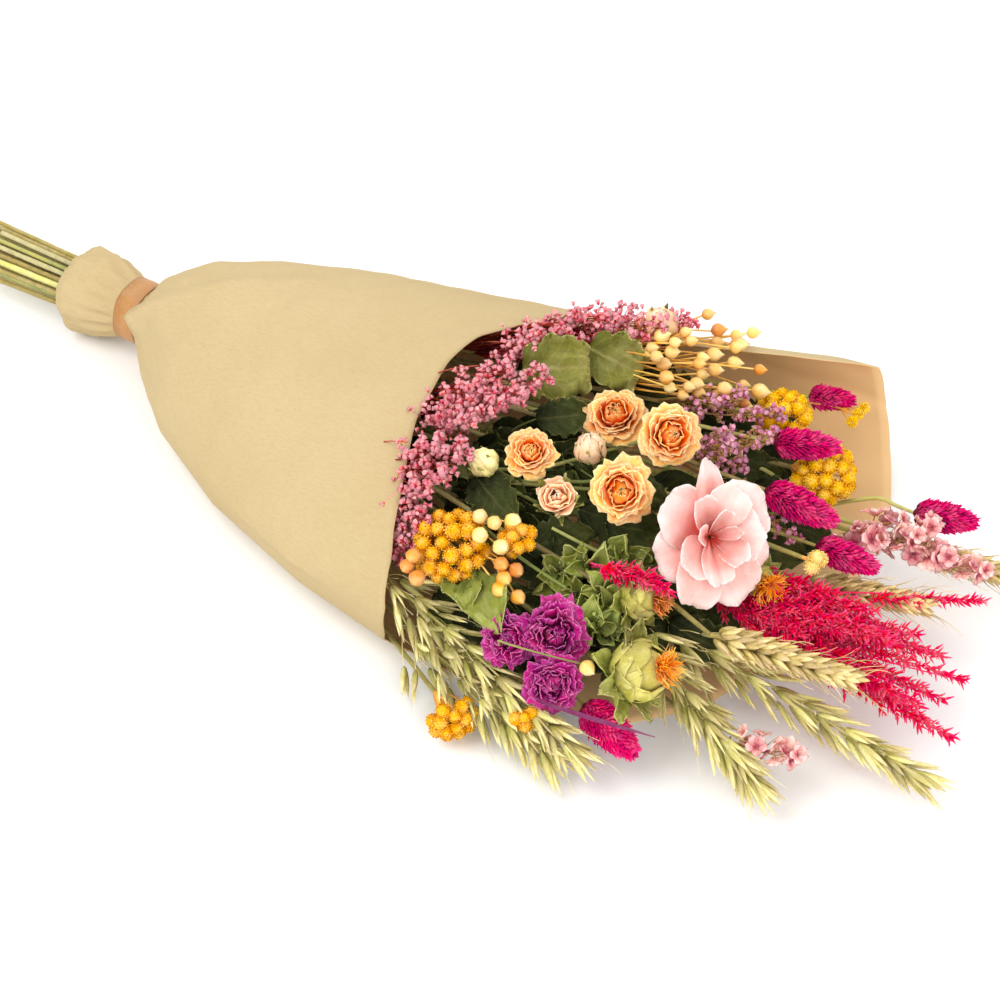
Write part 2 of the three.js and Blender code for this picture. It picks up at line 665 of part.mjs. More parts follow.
// Direction that leans away from an axis by an angle, turned round it.
function leaning(axis, lean, turn) {
  const side = Math.abs(axis.z) < 0.9 ? v(0, 0, 1) : v(1, 0, 0);
  const a = axis.clone().cross(side).normalize();
  const b = axis.clone().cross(a).normalize();
  const round = a.multiplyScalar(Math.cos(turn)).addScaledVector(b, Math.sin(turn));
  return axis.clone().multiplyScalar(Math.cos(lean)).addScaledVector(round, Math.sin(lean)).normalize();
}

// A dome of small round heads, half sunk in a core.
function buttonDome({ name, at, axis, spread, count, radius }, seed) {
  tryOn(name, (size, grow) => {
    const [wide, deep] = [spread * size + grow, 0.78 * spread * size + grow];
    return place(new THREE.IcosahedronGeometry(1, 0).scale(wide, wide, deep), at, axis);
  }, [0.8, 0.7, 0.6, 0.5]);
  for (let i = 0; i < count; i += 1) {
    const lean = Math.acos(1 - (1.2 * (i + 0.4)) / count);
    const out = leaning(axis, lean, i * golden + seed);
    const flat = out.clone().addScaledVector(axis, -0.3 * out.dot(axis));
    const size = radius * (0.9 + 0.2 * draw(seed + i));
    tryOn(name, (reach, grow) => {
      return ball(at.clone().addScaledVector(flat, (spread - radius * 0.7) * reach), size + grow);
    }, [1, 0.88, 0.76]);
  }
}

// Round pods with their thin stalks
function podSpray(name, pods, radius) {
  const { head } = stems.find((s) => s.name === name);
  pods.forEach((pod, i) => {
    const size = radius * (0.92 + 0.16 * draw(i + 5));
    tryOn(name, (k, grow) => {
      const start = stemAt(name, head.x - 2 - 2.6 * (i + k));
      const axis = pod.clone().sub(start).normalize();
      const back = pod.distanceTo(start);
      const profile = [[0.7, -back], [0.65, -size], [0.9 * size, -0.42 * size], [0.88 * size, 0.45 * size]];
      const rings = profile.map(([r, z], n) =>
        Array.from({ length: 5 }, (_, j) => {
          const angle = (2 * Math.PI * (j + n / 2)) / 5;
          return v((r + grow) * Math.cos(angle), (r + grow) * Math.sin(angle), z);
        }),
      );
      return place(ringed(rings, v(0, 0, -back - 0.6), v(0, 0, size + grow)), pod, axis);
    }, [0, 0.5, 1.2, 2, 3, -1]);
  });
}

// Twigs that each end in a sprig closely set with florets.
function sprigs(name, tips, { length, radius, rows = 5, raise = 1.5, sink = 0.5, lean = 0.1, seed = 0 }) {
  const { head } = stems.find((s) => s.name === name);
  tips.forEach((tip, k) => {
    const starts = [0, 0.5, -0.5, 1, 2, 3].map((n) => stemAt(name, head.x - 2 - 2.6 * (n + k)));
    const choices = [1, 0.8, 0.6].flatMap((size) => starts.map((start) => [start, size]));
    tryOn(name, ([start, size], grow) => {
      const axis = tip.clone().sub(start).normalize();
      const foot = tip.clone().addScaledVector(axis, -length);
      const profile = (t) => sprigProfile(radius * size)(t) + grow;
      const shape = { length: length + grow, profile, columns: 6, rows, raise, sink, lean, uneven: 0.35 };
      const twig = { back: start.distanceTo(foot), radius: 0.8 + grow };
      return place(pointed({ ...shape, twig, seed: seed + 50 * k }), foot, axis);
    }, choices);
  });
}

// Pointed spikelets round a thin axis.
function panicle(name, axis, { length, count, size, width, lean, stalk, seed = 0 }) {
  const from = stems.find((s) => s.name === name).head;
  const tipAt = (turn) => from.clone().addScaledVector(leaning(axis, turn[0], turn[1]), length);
  const turns = [[0, 0], [0.06, 0], [0.06, 2], [0.06, 4], [0.12, 0], [0.12, 1.6], [0.12, 3.1], [0.12, 4.7]];
  const chosen = tryOn(name, (turn, grow) => limb(from, tipAt(turn), 1 + grow, 0.6 + grow, 3), turns);
  if (!chosen) return;
  const spine = tipAt(chosen).sub(from).normalize();
  for (let i = 0; i < count; i += 1) {
    const share = (i + 0.3) / count;
    const root = from.clone().addScaledVector(spine, length * share);
    const turn = i * golden + seed;
    const way = leaning(spine, lean * (1 - 0.4 * share), turn);
    const reach = size * (0.85 + 0.3 * draw(seed + i));
    tryOn(name, (extra, grow) => {
      const lying = way.clone().applyAxisAngle(spine, extra);
      return grain(root, lying, stalk * (1 - share), reach + grow, width + 2 * grow, turn);
    }, [0, 0.9, -0.9, 2]);
  }
}

// Leaf outlines, as half widths along the leaf
const tooth = (t) => (Math.round(t * 8) % 2 ? 1.06 : 0.78);
const serrated = (t) => 0.42 * Math.sin(Math.PI * (0.05 + 0.95 * t)) ** 0.8 * tooth(t);
const ovate = (t) => 0.33 * Math.sin(Math.PI * Math.min(1, 0.05 + 0.95 * t ** 0.8));

// Turns round the leaf's own axis, each with a share of its length
const leafChoices = [
  [0, 1], [0.3, 1], [-0.3, 1], [0, 0.85], [0.5, 0.85], [-0.5, 0.85], [0, 0.7], [0.6, 0.6], [-0.6, 0.6],
];

// A leaf round its middle, with its upper face to up. Its stalk, if it has one, leaves the stem near x.
function leaf(name, x, middle, direction, up, length, outline, steps = 6) {
  const reach = direction.clone().normalize();
  const side = up.clone().cross(reach).normalize();
  const basis = new THREE.Matrix4().makeBasis(reach, side, reach.clone().cross(side));
  const root = middle.clone().addScaledVector(reach, -length / 2);
  const foot = root.clone().addScaledVector(reach, 2.5);
  if (x) {
    const starts = [0, 8, 16, -8, 24, -16, 32].map((back) => stemAt(name, x - back));
    if (!tryOn(name, (start, grow) => limb(start, foot, 0.9 + grow, 0.7 + grow, 3), starts)) return;
  }
  tryOn(name, ([turn, scale], grow) => {
    const rise = (t) => 0.5 * t * t * (0.8 - t);
    const cut = { halfWidth: outline, cup: 0.25, rise, steps };
    const made = blade({ ...cut, length: length * scale, thick: 1.2 + 2 * grow });
    made.rotateX(turn);
    return made.applyMatrix4(basis).translate(root.x, root.y, root.z);
  }, leafChoices);
}

// The bouquet

plant("paper_wrap", colours.kraft, 0.95);
fix("paper_wrap", paperWrap());
plant("tie_band", colours.band, 0.6);
fix("tie_band", tieBand());

// Round places that the stems of other plants keep out of
const obstacle = (name, at, radius) => ({ name, at, radius });
const obstacles = [
  ...[...peachRoses, ...peachBuds, ...purpleRoses].map((b) => obstacle(b.spray, b.at, b.radius + 5)),
  ...domes.map((d) => obstacle(d.name, d.at, d.spread + 3)),
  ...ears.map((e) => obstacle(e.name, e.at.clone().addScaledVector(e.axis, e.length / 2), e.length / 2)),
  ...thistles.map((t) => obstacle(t.name, t.at.clone().addScaledVector(t.axis, t.radius), t.radius * 1.9)),
  obstacle("sola_stem", v(376, -36, 86), 28),
];
assignPlaces();
untangle(obstacles);
stems.forEach(growStem);

// Branch of a spray that ends just short of its bloom's foot.
function branchTo(spray, foot, axis) {
  const { head } = stems.find((one) => one.name === spray);
  const end = foot.clone().addScaledVector(axis, -gap - 0.1);
  const bend = end.clone().addScaledVector(axis, -12);
  const back = head.clone().lerp(stemAt(spray, head.x - 20), 0.15);
  fix(spray, stem([back, bend, end], 1.1));
}

// A flower head in its own node
function bloom(name, colour, parts, at, axis, spin = 0) {
  plant(name, colour);
  for (const part of parts) fix(name, place(part, at, axis, spin));
}

function roses(list, label, colour, petals) {
  list.forEach(({ at, axis, radius, spray }, i) => {
    axis.normalize();
    const height = radius * 1.1;
    const foot = at.clone().addScaledVector(axis, -height * 0.55);
    bloom(`${label}_${i + 1}`, colour, roseParts(radius, height, petals, i + 1), foot, axis, i);
    branchTo(spray, foot.clone().addScaledVector(axis, -4), axis);
  });
}
roses(peachRoses, "peach_rose", colours.peach, 5);
roses(purpleRoses, "purple_rose", colours.purple, 5);
peachBuds.forEach(({ at, axis, radius, height, spray }, i) => {
  axis.normalize();
  const foot = at.clone().addScaledVector(axis, -height * 0.55);
  bloom(`peach_bud_${i + 1}`, colours.peach, [budPart(radius, height)], foot, axis, i);
  branchTo(spray, foot.clone().addScaledVector(axis, -3), axis);
});
sola.axis.normalize();
bloom("sola_flower", colours.pink, solaParts(sola.radius), sola.at, sola.axis, 0.4);
branchTo("sola_stem", sola.at.clone().addScaledVector(sola.axis, -4), sola.axis);

for (const { name, at, axis, length, radius } of ears) {
  const foot = at.clone().addScaledVector(axis, -1);
  const form = { columns: 9, rows: 8, raise: 1.13, sink: 0.84, lean: 0.07 };
  const shape = { ...form, length, profile: earProfile(radius) };
  fix(name, place(pointed(shape), foot, axis));
}
domes.forEach((dome, i) => {
  dome.axis.normalize();
  buttonDome(dome, i * 50);
});

// Safflower: a globe of bracts over a collar of leaves, and its tuft in a node of its own
thistles.forEach(({ name, at, axis, radius, tuft }, k) => {
  axis.normalize();
  const height = radius * 1.9;
  const bracts = { columns: 9, rows: 5, raise: 1.08, sink: 0.9 };
  const globe = { ...bracts, length: height, profile: globeProfile(radius) };
  fix(name, place(pointed(globe), at.clone().addScaledVector(axis, -1), axis));
  for (let i = 0; i < 3; i += 1) {
    const way = leaning(axis, 1 + 0.2 * draw(i + k), i * 2.09 + k);
    const middle = at.clone().addScaledVector(axis, height * 0.14).addScaledVector(way, radius * 1.25);
    leaf(name, undefined, middle, way, axis, radius * 1.9, ovate, 4);
  }
  const tuftName = `safflower_tuft_${k + 1}`;
  plant(tuftName, colours.tuft);
  const seat = at.clone().addScaledVector(axis, height - 0.5 + gap);
  const flare = (t) => tuft * (0.25 + 0.45 * t);
  const spread = { columns: 9, rows: 3, raise: 1.45, sink: 0.6, lean: 0.2, uneven: 0.3 };
  const threads = { ...spread, length: tuft, profile: flare };
  fix(tuftName, place(pointed(threads).translate(0, 0, 2.2), seat, axis));
});

// Crimson plume
const plumes = {
  plume_1: {
    tips: [
      [524, -22, 44], [502, 30, 46], [512, -46, 30], [486, 4, 62],
      [476, -28, 64], [506, -2, 40], [490, -46, 50],
    ],
    shape: { length: 86, radius: 9, rows: 8, raise: 1.4, sink: 0.6, lean: 0.12 },
  },
  plume_2: {
    tips: [[345, -70, 82]],
    shape: { length: 26, radius: 5.5, raise: 1.4, sink: 0.6, lean: 0.12 },
  },
};
Object.entries(plumes).forEach(([name, { tips, shape }], k) => {
  sprigs(name, tips.map((p) => v(...p)), { ...shape, seed: 300 * k });
});

// Leaves of the rose sprays and the leafy sprig
const towardsEye = v(0.375, -0.6, 0.707);
const bigLeaves = [
  { on: "peach_spray_2", x: 225, at: v(255, 20, 92), to: v(0.75, 0.6, -0.05), length: 36 },
  { on: "peach_spray_4", x: 225, at: v(274, 44, 88), to: v(0.9, 0.2, -0.2), length: 32 },
  { on: "peach_spray_2", x: 240, at: v(274, 0, 82), to: v(0.8, 0.5, 0.1), length: 28 },
  { on: "peach_spray_3", x: 230, at: v(279, -66, 72), to: v(0.9, -0.2, -0.2), length: 38 },
  { on: "peach_spray_1", x: 215, at: v(243, -56, 80), to: v(0.5, 0.2, 0.6), length: 24 },
  { on: "peach_spray_2", x: 245, at: v(318, -10, 62), to: v(0.9, 0.1, 0), length: 42 },
  { on: "peach_spray_4", x: 235, at: v(300, 62, 60), to: v(0.9, 0.3, 0), length: 42 },
  { on: "peach_spray_3", x: 250, at: v(306, -68, 50), to: v(0.8, -0.4, 0), length: 42 },
];
for (const { on, x, at, to, length } of bigLeaves) leaf(on, x, at, to, towardsEye, length, serrated, 8);
const lowLeaves = [
  { on: "purple_spray", x: 270, at: v(306, -86, 26), to: v(0.9, -0.2, -0.1) },
  { on: "safflower_1", x: 320, at: v(346, -90, 28), to: v(0.9, -0.1, -0.1) },
  { on: "sola_stem", x: 320, at: v(350, -26, 30), to: v(0.9, 0, -0.1) },
  { on: "sola_stem", x: 300, at: v(334, 20, 36), to: v(0.9, 0.3, -0.1) },
  { on: "leafy_sprig", x: 295, at: v(322, -50, 28), to: v(0.9, 0, -0.1) },
  { on: "peach_spray_4", x: 236, at: v(326, 82, 40), to: v(0.9, 0.2, -0.1) },
  { on: "sola_stem", x: 340, at: v(370, 6, 26), to: v(0.9, 0.2, -0.1) },
];
for (const { on, x, at, to } of lowLeaves) leaf(on, x, at, to, towardsEye, 48, ovate, 4);
leaf("purple_spray", 255, v(290, -98, 54), v(0.8, -0.4, -0.3), towardsEye, 34, ovate, 4);
const sprigLeaves = 8;
const sprigMiddle = v(327, -80, 68);
const rightOfEye = v(0.848, 0.53, 0);
const aboveEye = towardsEye.clone().cross(rightOfEye);
for (let i = 0; i < sprigLeaves; i += 1) {
  const turn = i * golden;
  const way = rightOfEye.clone().multiplyScalar(Math.cos(turn)).addScaledVector(aboveEye, Math.sin(turn));
  const reach = 13 + 11 * Math.sqrt(i / sprigLeaves);
  const middle = sprigMiddle.clone().addScaledVector(way, reach).addScaledVector(towardsEye, -1.3 * i);
  leaf("leafy_sprig", 312 - 2 * i, middle, way.addScaledVector(towardsEye, 0.3), towardsEye, 27, ovate, 4);
}

// Flax pods
const podPlaces = {
  flax_1: [
    [284, 76, 92], [292, 64, 96], [301, 50, 92], [307, 42, 92], [300, 60, 92], [320, 50, 88],
    [322, 66, 86], [332, 58, 84], [316, 76, 86], [326, 80, 82], [308, 96, 84], [320, 96, 80], [346, 70, 80],
  ],
  flax_2: [
    [276, -74, 90], [286, -72, 90], [293, -64, 86], [282, -84, 88], [296, -96, 74], [303, -94, 72],
    [300, -104, 66], [309, -102, 64],
  ],
  flax_3: [[356, -118, 64], [328, -128, 60]],
};
for (const [name, list] of Object.entries(podPlaces)) {
  podSpray(name, list.map((p) => v(...p)), 4.2);
}

// Statice and larkspur
const flowerSpikes = {
  statice_1: [[352, 48, 84], [342, 56, 84], [336, 42, 88], [362, 60, 78]],
  statice_2: [[372, 24, 98], [362, 4, 100], [352, 18, 94]],
  larkspur_1: [[448, 38, 56], [436, 24, 62]],
  larkspur_2: [[482, 44, 46], [470, 48, 58], [462, 62, 68]],
  larkspur_3: [[452, -94, 30]],
};
Object.entries(flowerSpikes).forEach(([name, tips], k) => {
  const shape = { length: 28, radius: 6, rows: 5, raise: 1.5, sink: 0.45, lean: 0.1, seed: 40 * k };
  sprigs(name, tips.map((p) => v(...p)), shape);
});

// Oats
const oats = { count: 18, size: 26, width: 5.8, lean: 0.4, stalk: 5 };
const oatSpikes = [
  { name: "oats_1", axis: v(0.96, -0.24, -0.14), length: 120 },
  { name: "oats_2", axis: v(0.97, -0.26, -0.03), length: 92 },
  { name: "oats_3", axis: v(0.9, -0.4, -0.2), length: 74 },
  { name: "oats_4", axis: v(0.97, -0.05, -0.1), length: 112 },
];
oatSpikes.forEach(({ name, axis, length }, i) => {
  panicle(name, axis.normalize(), { ...oats, length, seed: i * 60 });
});

// Wheat
const wheatEars = [
  { name: "wheat_1", axis: v(0.91, 0.33, -0.22), length: 76 },
  { name: "wheat_2", axis: v(0.95, 0.12, -0.05), length: 66 },
  { name: "wheat_3", axis: v(0.95, 0.16, 0), length: 66 },
];
for (const { name, axis, length } of wheatEars) {
  const { head } = stems.find((s) => s.name === name);
  tryOn(name, (size, grow) => {
    const profile = (t) => 7.4 * size * (1 - 0.5 * t * t) + grow;
    const scales = { columns: 6, rows: 10, raise: 1.1, sink: 0.72, lean: 0.09 };
    const ear = { ...scales, length: length + grow, profile };
    return place(pointed(ear), head, axis.clone().normalize());
  }, [1, 0.9, 0.75]);
}

// Pink broom: where its twigs end
const broomTips = {
  broom_1: [
    [246, -100, 66], [249, -94, 76], [243, -82, 84], [250, -74, 90],
    [238, -64, 94], [254, -62, 98], [242, -104, 58],
  ],
  broom_2: [
    [244, -44, 100], [250, -30, 100], [236, -24, 100], [258, -16, 100],
    [242, -6, 102], [260, 0, 102], [232, -46, 96],
  ],
  broom_3: [
    [240, 18, 100], [252, 32, 100], [246, 54, 94], [266, 60, 96],
    [288, 66, 98], [268, 74, 92], [298, 80, 96],
  ],
};
Object.entries(broomTips).forEach(([name, list], k) => {
  sprigs(name, list.map((p) => v(...p)), { length: 25, radius: 6, rows: 4, seed: 400 * k });
});

// Nodes

const materials = new Map();
function materialOf(colour, roughness) {
  const key = colour + roughness;
  if (!materials.has(key)) {
    materials.set(key, new THREE.MeshStandardMaterial({ color: colour, roughness, metalness: 0 }));
  }
  return materials.get(key);
}

const bouquet = new THREE.Group();
for (const [name, { colour, roughness, parts }] of plants) {
  const joined = parts.reduce((sum, part) => sum.add(part)).simplify(0.03);
  const bodies = joined.decompose().sort((a, b) => b.volume() - a.volume());
  const mesh = new THREE.Mesh(geometryFrom(bodies[0]), materialOf(colour, roughness));
  mesh.name = name;
  bouquet.add(mesh);
}

const box = new THREE.Box3().setFromObject(bouquet);
const middle = box.getCenter(v(0, 0, 0));
bouquet.position.set(-middle.x, -middle.y, -box.min.z);

export default bouquet;
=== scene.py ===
import math

import bpy
import numpy as np
from mathutils import Matrix, Quaternion, Vector, noise


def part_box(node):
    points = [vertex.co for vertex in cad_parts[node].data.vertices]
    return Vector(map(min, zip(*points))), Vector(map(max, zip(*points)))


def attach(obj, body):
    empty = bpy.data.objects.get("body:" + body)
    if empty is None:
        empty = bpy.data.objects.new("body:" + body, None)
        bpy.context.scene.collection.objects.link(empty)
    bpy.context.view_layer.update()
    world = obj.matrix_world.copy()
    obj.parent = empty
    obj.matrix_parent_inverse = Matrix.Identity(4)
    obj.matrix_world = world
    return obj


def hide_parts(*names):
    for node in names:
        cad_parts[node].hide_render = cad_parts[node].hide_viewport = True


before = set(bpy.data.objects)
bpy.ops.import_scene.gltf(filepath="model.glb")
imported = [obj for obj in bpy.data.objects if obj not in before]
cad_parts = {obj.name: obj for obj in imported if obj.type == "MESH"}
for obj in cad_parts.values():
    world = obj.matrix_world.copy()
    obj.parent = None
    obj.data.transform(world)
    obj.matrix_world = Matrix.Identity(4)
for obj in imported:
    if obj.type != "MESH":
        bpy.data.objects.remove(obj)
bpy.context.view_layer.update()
scene = bpy.context.scene
print("frame loaded:", len(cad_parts), "nodes")

# Places are in millimetres from the tie, as in the part's source: +x to the flowers, +y the far side,
# z up from the surface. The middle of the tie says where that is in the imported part.
mm = 0.001
tieHeight = 27
tieLow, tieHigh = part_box("tie_band")
tieOrigin = np.array((tieLow + tieHigh) / 2) / mm - np.array((0, 0, tieHeight))
golden = math.pi * (3 - math.sqrt(5))  # turns each petal or floret away from the last
noise.seed_set(7)  # the same crumples every time
fullTurn, quarterTurn, fifthTurn = 6.28, 1.5708, 1.257


def toPart(points):
    return (np.asarray(points, dtype=float).reshape(-1, 3) + tieOrigin) * mm


def colour(red, green, blue):
    linear = [c / 255 / 12.92 if c < 11 else ((c / 255 + 0.055) / 1.055) ** 2.4 for c in (red, green, blue)]
    return (*linear, 1)


def unitOf(axis):
    return Vector(axis).normalized()


def wayTo(azimuth, elevation):
    turn, lift = math.radians(azimuth), math.radians(elevation)
    return Vector((math.sin(turn) * math.cos(lift), -math.cos(turn) * math.cos(lift), math.sin(lift)))


def inScene(name, data):
    made = bpy.data.objects.new(name, data)
    scene.collection.objects.link(made)
    return made


# Camera at the photo's angle

view = {"azimuth": 32, "elevation": 45, "distance": 1150, "lens": 82, "sensor": 36, "target": (254.93, -31.31, 40),
        "picture": 1000}
towardsEye = wayTo(view["azimuth"], view["elevation"])
rightOfEye = Vector((math.cos(math.radians(view["azimuth"])), math.sin(math.radians(view["azimuth"])), 0))
aboveEye = towardsEye.cross(rightOfEye)

cameraData = bpy.data.cameras.new("photoCamera")
cameraData.lens = view["lens"]
cameraData.sensor_width = view["sensor"]
cameraData.clip_end = 20
camera = inScene("photoCamera", cameraData)
camera.location = Vector(toPart(view["target"])[0]) + towardsEye * view["distance"] * mm
camera.rotation_euler = towardsEye.to_track_quat("Z", "Y").to_euler()
scene.camera = camera
scene.view_settings.view_transform = "Standard"


# The place at a height z that the photo shows at a pixel
def atPixel(x, y, z):
    middle = view["picture"] / 2
    across, up = ((v / view["picture"]) * view["sensor"] for v in (x - middle, middle - y))
    ray = rightOfEye * across + aboveEye * up - towardsEye * view["lens"]
    eye = Vector(view["target"]) + towardsEye * view["distance"]
    return eye + ray * ((z - eye.z) / ray.z)


# Studio light

studio = {"floor": 6.0, "paleness": 0.93, "sky": 0.85}
softBoxes = {  # azimuth, elevation, distance, size and watts
    "keyLight": (-25, 58, 1.5, 0.9, 11.5), "fillLight": (58, 30, 1.7, 1.3, 11), "rimLight": (190, 35, 1.8, 1.2, 9),
}
for name, (azimuth, elevation, distance, size, watts) in softBoxes.items():
    light = bpy.data.lights.new(name, "AREA")
    light.size = size
    light.energy = watts
    way = wayTo(azimuth, elevation)
    lamp = inScene(name, light)
    lamp.location = way * distance
    lamp.rotation_euler = way.to_track_quat("Z", "Y").to_euler()
sky = bpy.data.worlds.new("studioSky")
sky.use_nodes = True
sky.node_tree.nodes["Background"].inputs["Color"].default_value = (1, 1, 1, 1)
sky.node_tree.nodes["Background"].inputs["Strength"].default_value = studio["sky"]
scene.world = sky

# Nodes of materials and of geometry trees


def put(tree, kind, inputs=None, output=0, **settings):
    node = tree.nodes.new(kind)
    for key, value in settings.items():
        setattr(node, key, value)
    for key, value in (inputs or {}).items():
        if isinstance(value, bpy.types.NodeSocket):
            tree.links.new(value, node.inputs[key])
        else:
            node.inputs[key].default_value = value
    return node.outputs if output is None else node.outputs[output]


def newTree(name, kind, inputs, outputs):
    tree = bpy.data.node_groups.new(name, kind)
    for label, (socketType, value) in inputs.items():
        socket = tree.interface.new_socket(label, in_out="INPUT", socket_type="NodeSocket" + socketType)
        if value is not None:
            socket.default_value = value
    for label, socketType in outputs.items():
        tree.interface.new_socket(label, in_out="OUTPUT", socket_type="NodeSocket" + socketType)
    return tree, tree.nodes.new("NodeGroupInput").outputs, tree.nodes.new("NodeGroupOutput").inputs


def mixed(tree, factor, first, second):
    return put(tree, "ShaderNodeMix", {0: factor, 6: first, 7: second}, 2, data_type="RGBA", blend_type="MIX")


def counted(tree, operation, first, second=0.0, third=0.0):
    return put(tree, "ShaderNodeMath", {0: first, 1: second, 2: third}, operation=operation)


def ranged(tree, value, low, high, to=(0.0, 1.0)):
    inputs = {"Value": value, "From Min": low, "From Max": high, "To Min": to[0], "To Max": to[1]}
    return put(tree, "ShaderNodeMapRange", inputs, interpolation_type="SMOOTHSTEP")


def noised(tree, coordinates, scale, detail=3.0):
    inputs = {"Vector": coordinates, "Scale": scale, "Detail": detail, "Roughness": 0.6}
    return put(tree, "ShaderNodeTexNoise", inputs, "Fac")


# Tones of everything dried. Each petal, leaf or scale carries how far a point is along it and across it,
# a tone of its own and its region's tint; the group turns those into colour and relief.

driedTones, given, handed = newTree("driedTones", "ShaderNodeTree", {
    "Vector": ("Vector", None), "Foot": ("Color", (0.2, 0.3, 0.1, 1)), "Middle": ("Color", (0.4, 0.4, 0.2, 1)),
    "Tip": ("Color", (0.6, 0.5, 0.3, 1)), "Edge": ("Color", (0.6, 0.5, 0.3, 1)), "Edge Width": ("Float", 0.2),
    "Mottle": ("Float", 160.0), "Vary": ("Float", 0.3), "Veins": ("Float", 6.0), "Vein Depth": ("Float", 0.15),
    "Tint Pull": ("Float", 0.0), "Ribs": ("Float", 0.0),
}, {"Color": "Color", "Height": "Float"})


def tally(operation, *values):
    return counted(driedTones, operation, *values)


def blend(value, low, high, first, second):
    return mixed(driedTones, ranged(driedTones, value, low, high), first, second)


# A value moved up or down by how far another one is from a half
def moved(value, other, amount):
    return tally("MULTIPLY_ADD", tally("SUBTRACT", other, 0.5), amount, value)


along, across, tone, tint = (put(driedTones, "ShaderNodeAttribute", output="Fac", attribute_name=key)
                             for key in ("along", "across", "tone", "tint"))
mottle = noised(driedTones, given["Vector"], given["Mottle"])
fineMottle = noised(driedTones, given["Vector"], tally("MULTIPLY", given["Mottle"], 6.0))
ownTone = tally("SUBTRACT", tone, 0.5)
reach = moved(tally("ADD", along, tally("MULTIPLY", ownTone, 0.35)), mottle, 0.9)
reach = moved(reach, tint, given["Tint Pull"])
body = blend(reach, 0.0, 0.5, given["Foot"], given["Middle"])
body = blend(reach, 0.5, 1.0, body, given["Tip"])
sideways = tally("ABSOLUTE", across)
slant = tally("MULTIPLY", tally("MULTIPLY_ADD", sideways, -0.3, along), 19.0)
slant = tally("ABSOLUTE", tally("SINE", slant))
ribs = tally("MAXIMUM", ranged(driedTones, slant, 0.03, 0.24, (0.55, 0.0)),
             ranged(driedTones, sideways, 0.02, 0.09, (1.0, 0.0)))
body = mixed(driedTones, tally("MULTIPLY", ribs, given["Ribs"]), body, given["Edge"])
rim = moved(tally("MAXIMUM", sideways, along), fineMottle, 0.35)
body = blend(rim, tally("SUBTRACT", 1.0, given["Edge Width"]), 1.02, body, given["Edge"])
veinPlace = {0: tally("MULTIPLY", across, given["Veins"]), 1: tally("MULTIPLY", along, 1.4),
             2: tally("MULTIPLY", tone, 23.0)}
vein = noised(driedTones, put(driedTones, "ShaderNodeCombineXYZ", veinPlace), 1.0, 2.0)
shade = moved(tally("MULTIPLY_ADD", ownTone, given["Vary"], 1.0), fineMottle, given["Vary"])
shade = moved(shade, vein, given["Vein Depth"])
hue = tally("MULTIPLY_ADD", tally("MULTIPLY", ownTone, given["Vary"]), 0.06, 0.5)
richness = ranged(driedTones, mottle, 0.2, 0.8, (1.08, 0.9))
shaded = put(driedTones, "ShaderNodeHueSaturation",
             {"Hue": hue, "Saturation": richness, "Value": shade, "Color": body})
driedTones.links.new(shaded, handed["Color"])
driedTones.links.new(tally("MULTIPLY_ADD", fineMottle, 0.35, vein), handed["Height"])

finishes = {}


def newMaterial(name):
    finishes[name] = bpy.data.materials.new(name)
    finishes[name].use_nodes = True
    tree = finishes[name].node_tree
    return tree, tree.nodes["Principled BSDF"].inputs, put(tree, "ShaderNodeTexCoord", output="Object")


# A material's colour, relief and roughness, and how glossy it is
def wire(tree, shader, body, height, relief, roughness, gloss):
    tree.links.new(body, shader["Base Color"])
    strength, depth = relief
    raised = put(tree, "ShaderNodeBump", {"Strength": strength, "Distance": depth, "Height": height})
    tree.links.new(raised, shader["Normal"])
    tree.links.new(roughness, shader["Roughness"])
    shader["Specular IOR Level"].default_value = gloss


def dried(name, foot, middle, tip, edge=None, rough=0.8, bump=0.3, gloss=0.25, glow=0.0, **look):
    tree, shader, place = newMaterial(name)
    inputs = {"Vector": place, "Foot": colour(*foot), "Middle": colour(*middle), "Tip": colour(*tip),
              "Edge": colour(*(edge or tip)), "Edge Width": 0.2 if edge else 0.001}
    labels = {"edgeWidth": "Edge Width", "mottle": "Mottle", "vary": "Vary", "veins": "Veins",
              "veinDepth": "Vein Depth", "tintPull": "Tint Pull", "ribs": "Ribs"}
    inputs.update({labels[key]: value for key, value in look.items()})
    tones = put(tree, "ShaderNodeGroup", inputs, None, node_tree=driedTones)
    roughness = ranged(tree, tones["Height"], 0.3, 1.0, (rough + 0.1, rough - 0.12))
    wire(tree, shader, tones["Color"], tones["Height"], (bump, 0.0006), roughness, gloss)
    if glow:
        shader["Subsurface Weight"].default_value = glow
        shader["Subsurface Radius"].default_value = (1.0, 0.6, 0.5)
        shader["Subsurface Scale"].default_value = 0.002


def kraft(name, pale, deep, speck, inside):
    tree, shader, place = newMaterial(name)
    pale, deep, speck, inside = (colour(*tone) for tone in (pale, deep, speck, inside))
    stretched = put(tree, "ShaderNodeMapping", {"Vector": place, "Scale": (0.25, 1, 1)})
    broad = noised(tree, place, 9.0)
    fibres = noised(tree, stretched, 900.0)
    body = mixed(tree, ranged(tree, broad, 0.3, 0.7), pale, deep)
    body = mixed(tree, ranged(tree, fibres, 0.35, 0.75, (0.0, 0.22)), body, speck)
    body = mixed(tree, ranged(tree, noised(tree, place, 1400.0, 1.0), 0.66, 0.74, (0.0, 0.5)), body, speck)
    side = put(tree, "ShaderNodeAttribute", output="Fac", attribute_name="across")  # 0 outside, 1 inside
    # Inside faces take the inside colour, which is painted light: the same kraft made much paler so the shaded inner
    # panel reads bright
    body = mixed(tree, side, body, mixed(tree, ranged(tree, broad, 0.3, 0.7, (0.0, 0.3)), inside, speck))
    height = counted(tree, "MULTIPLY_ADD", fibres, 0.12, noised(tree, place, 60.0, 6.0))
    wire(tree, shader, body, height, (0.25, 0.001), ranged(tree, fibres, 0.2, 0.8, (0.92, 0.75)), 0.2)
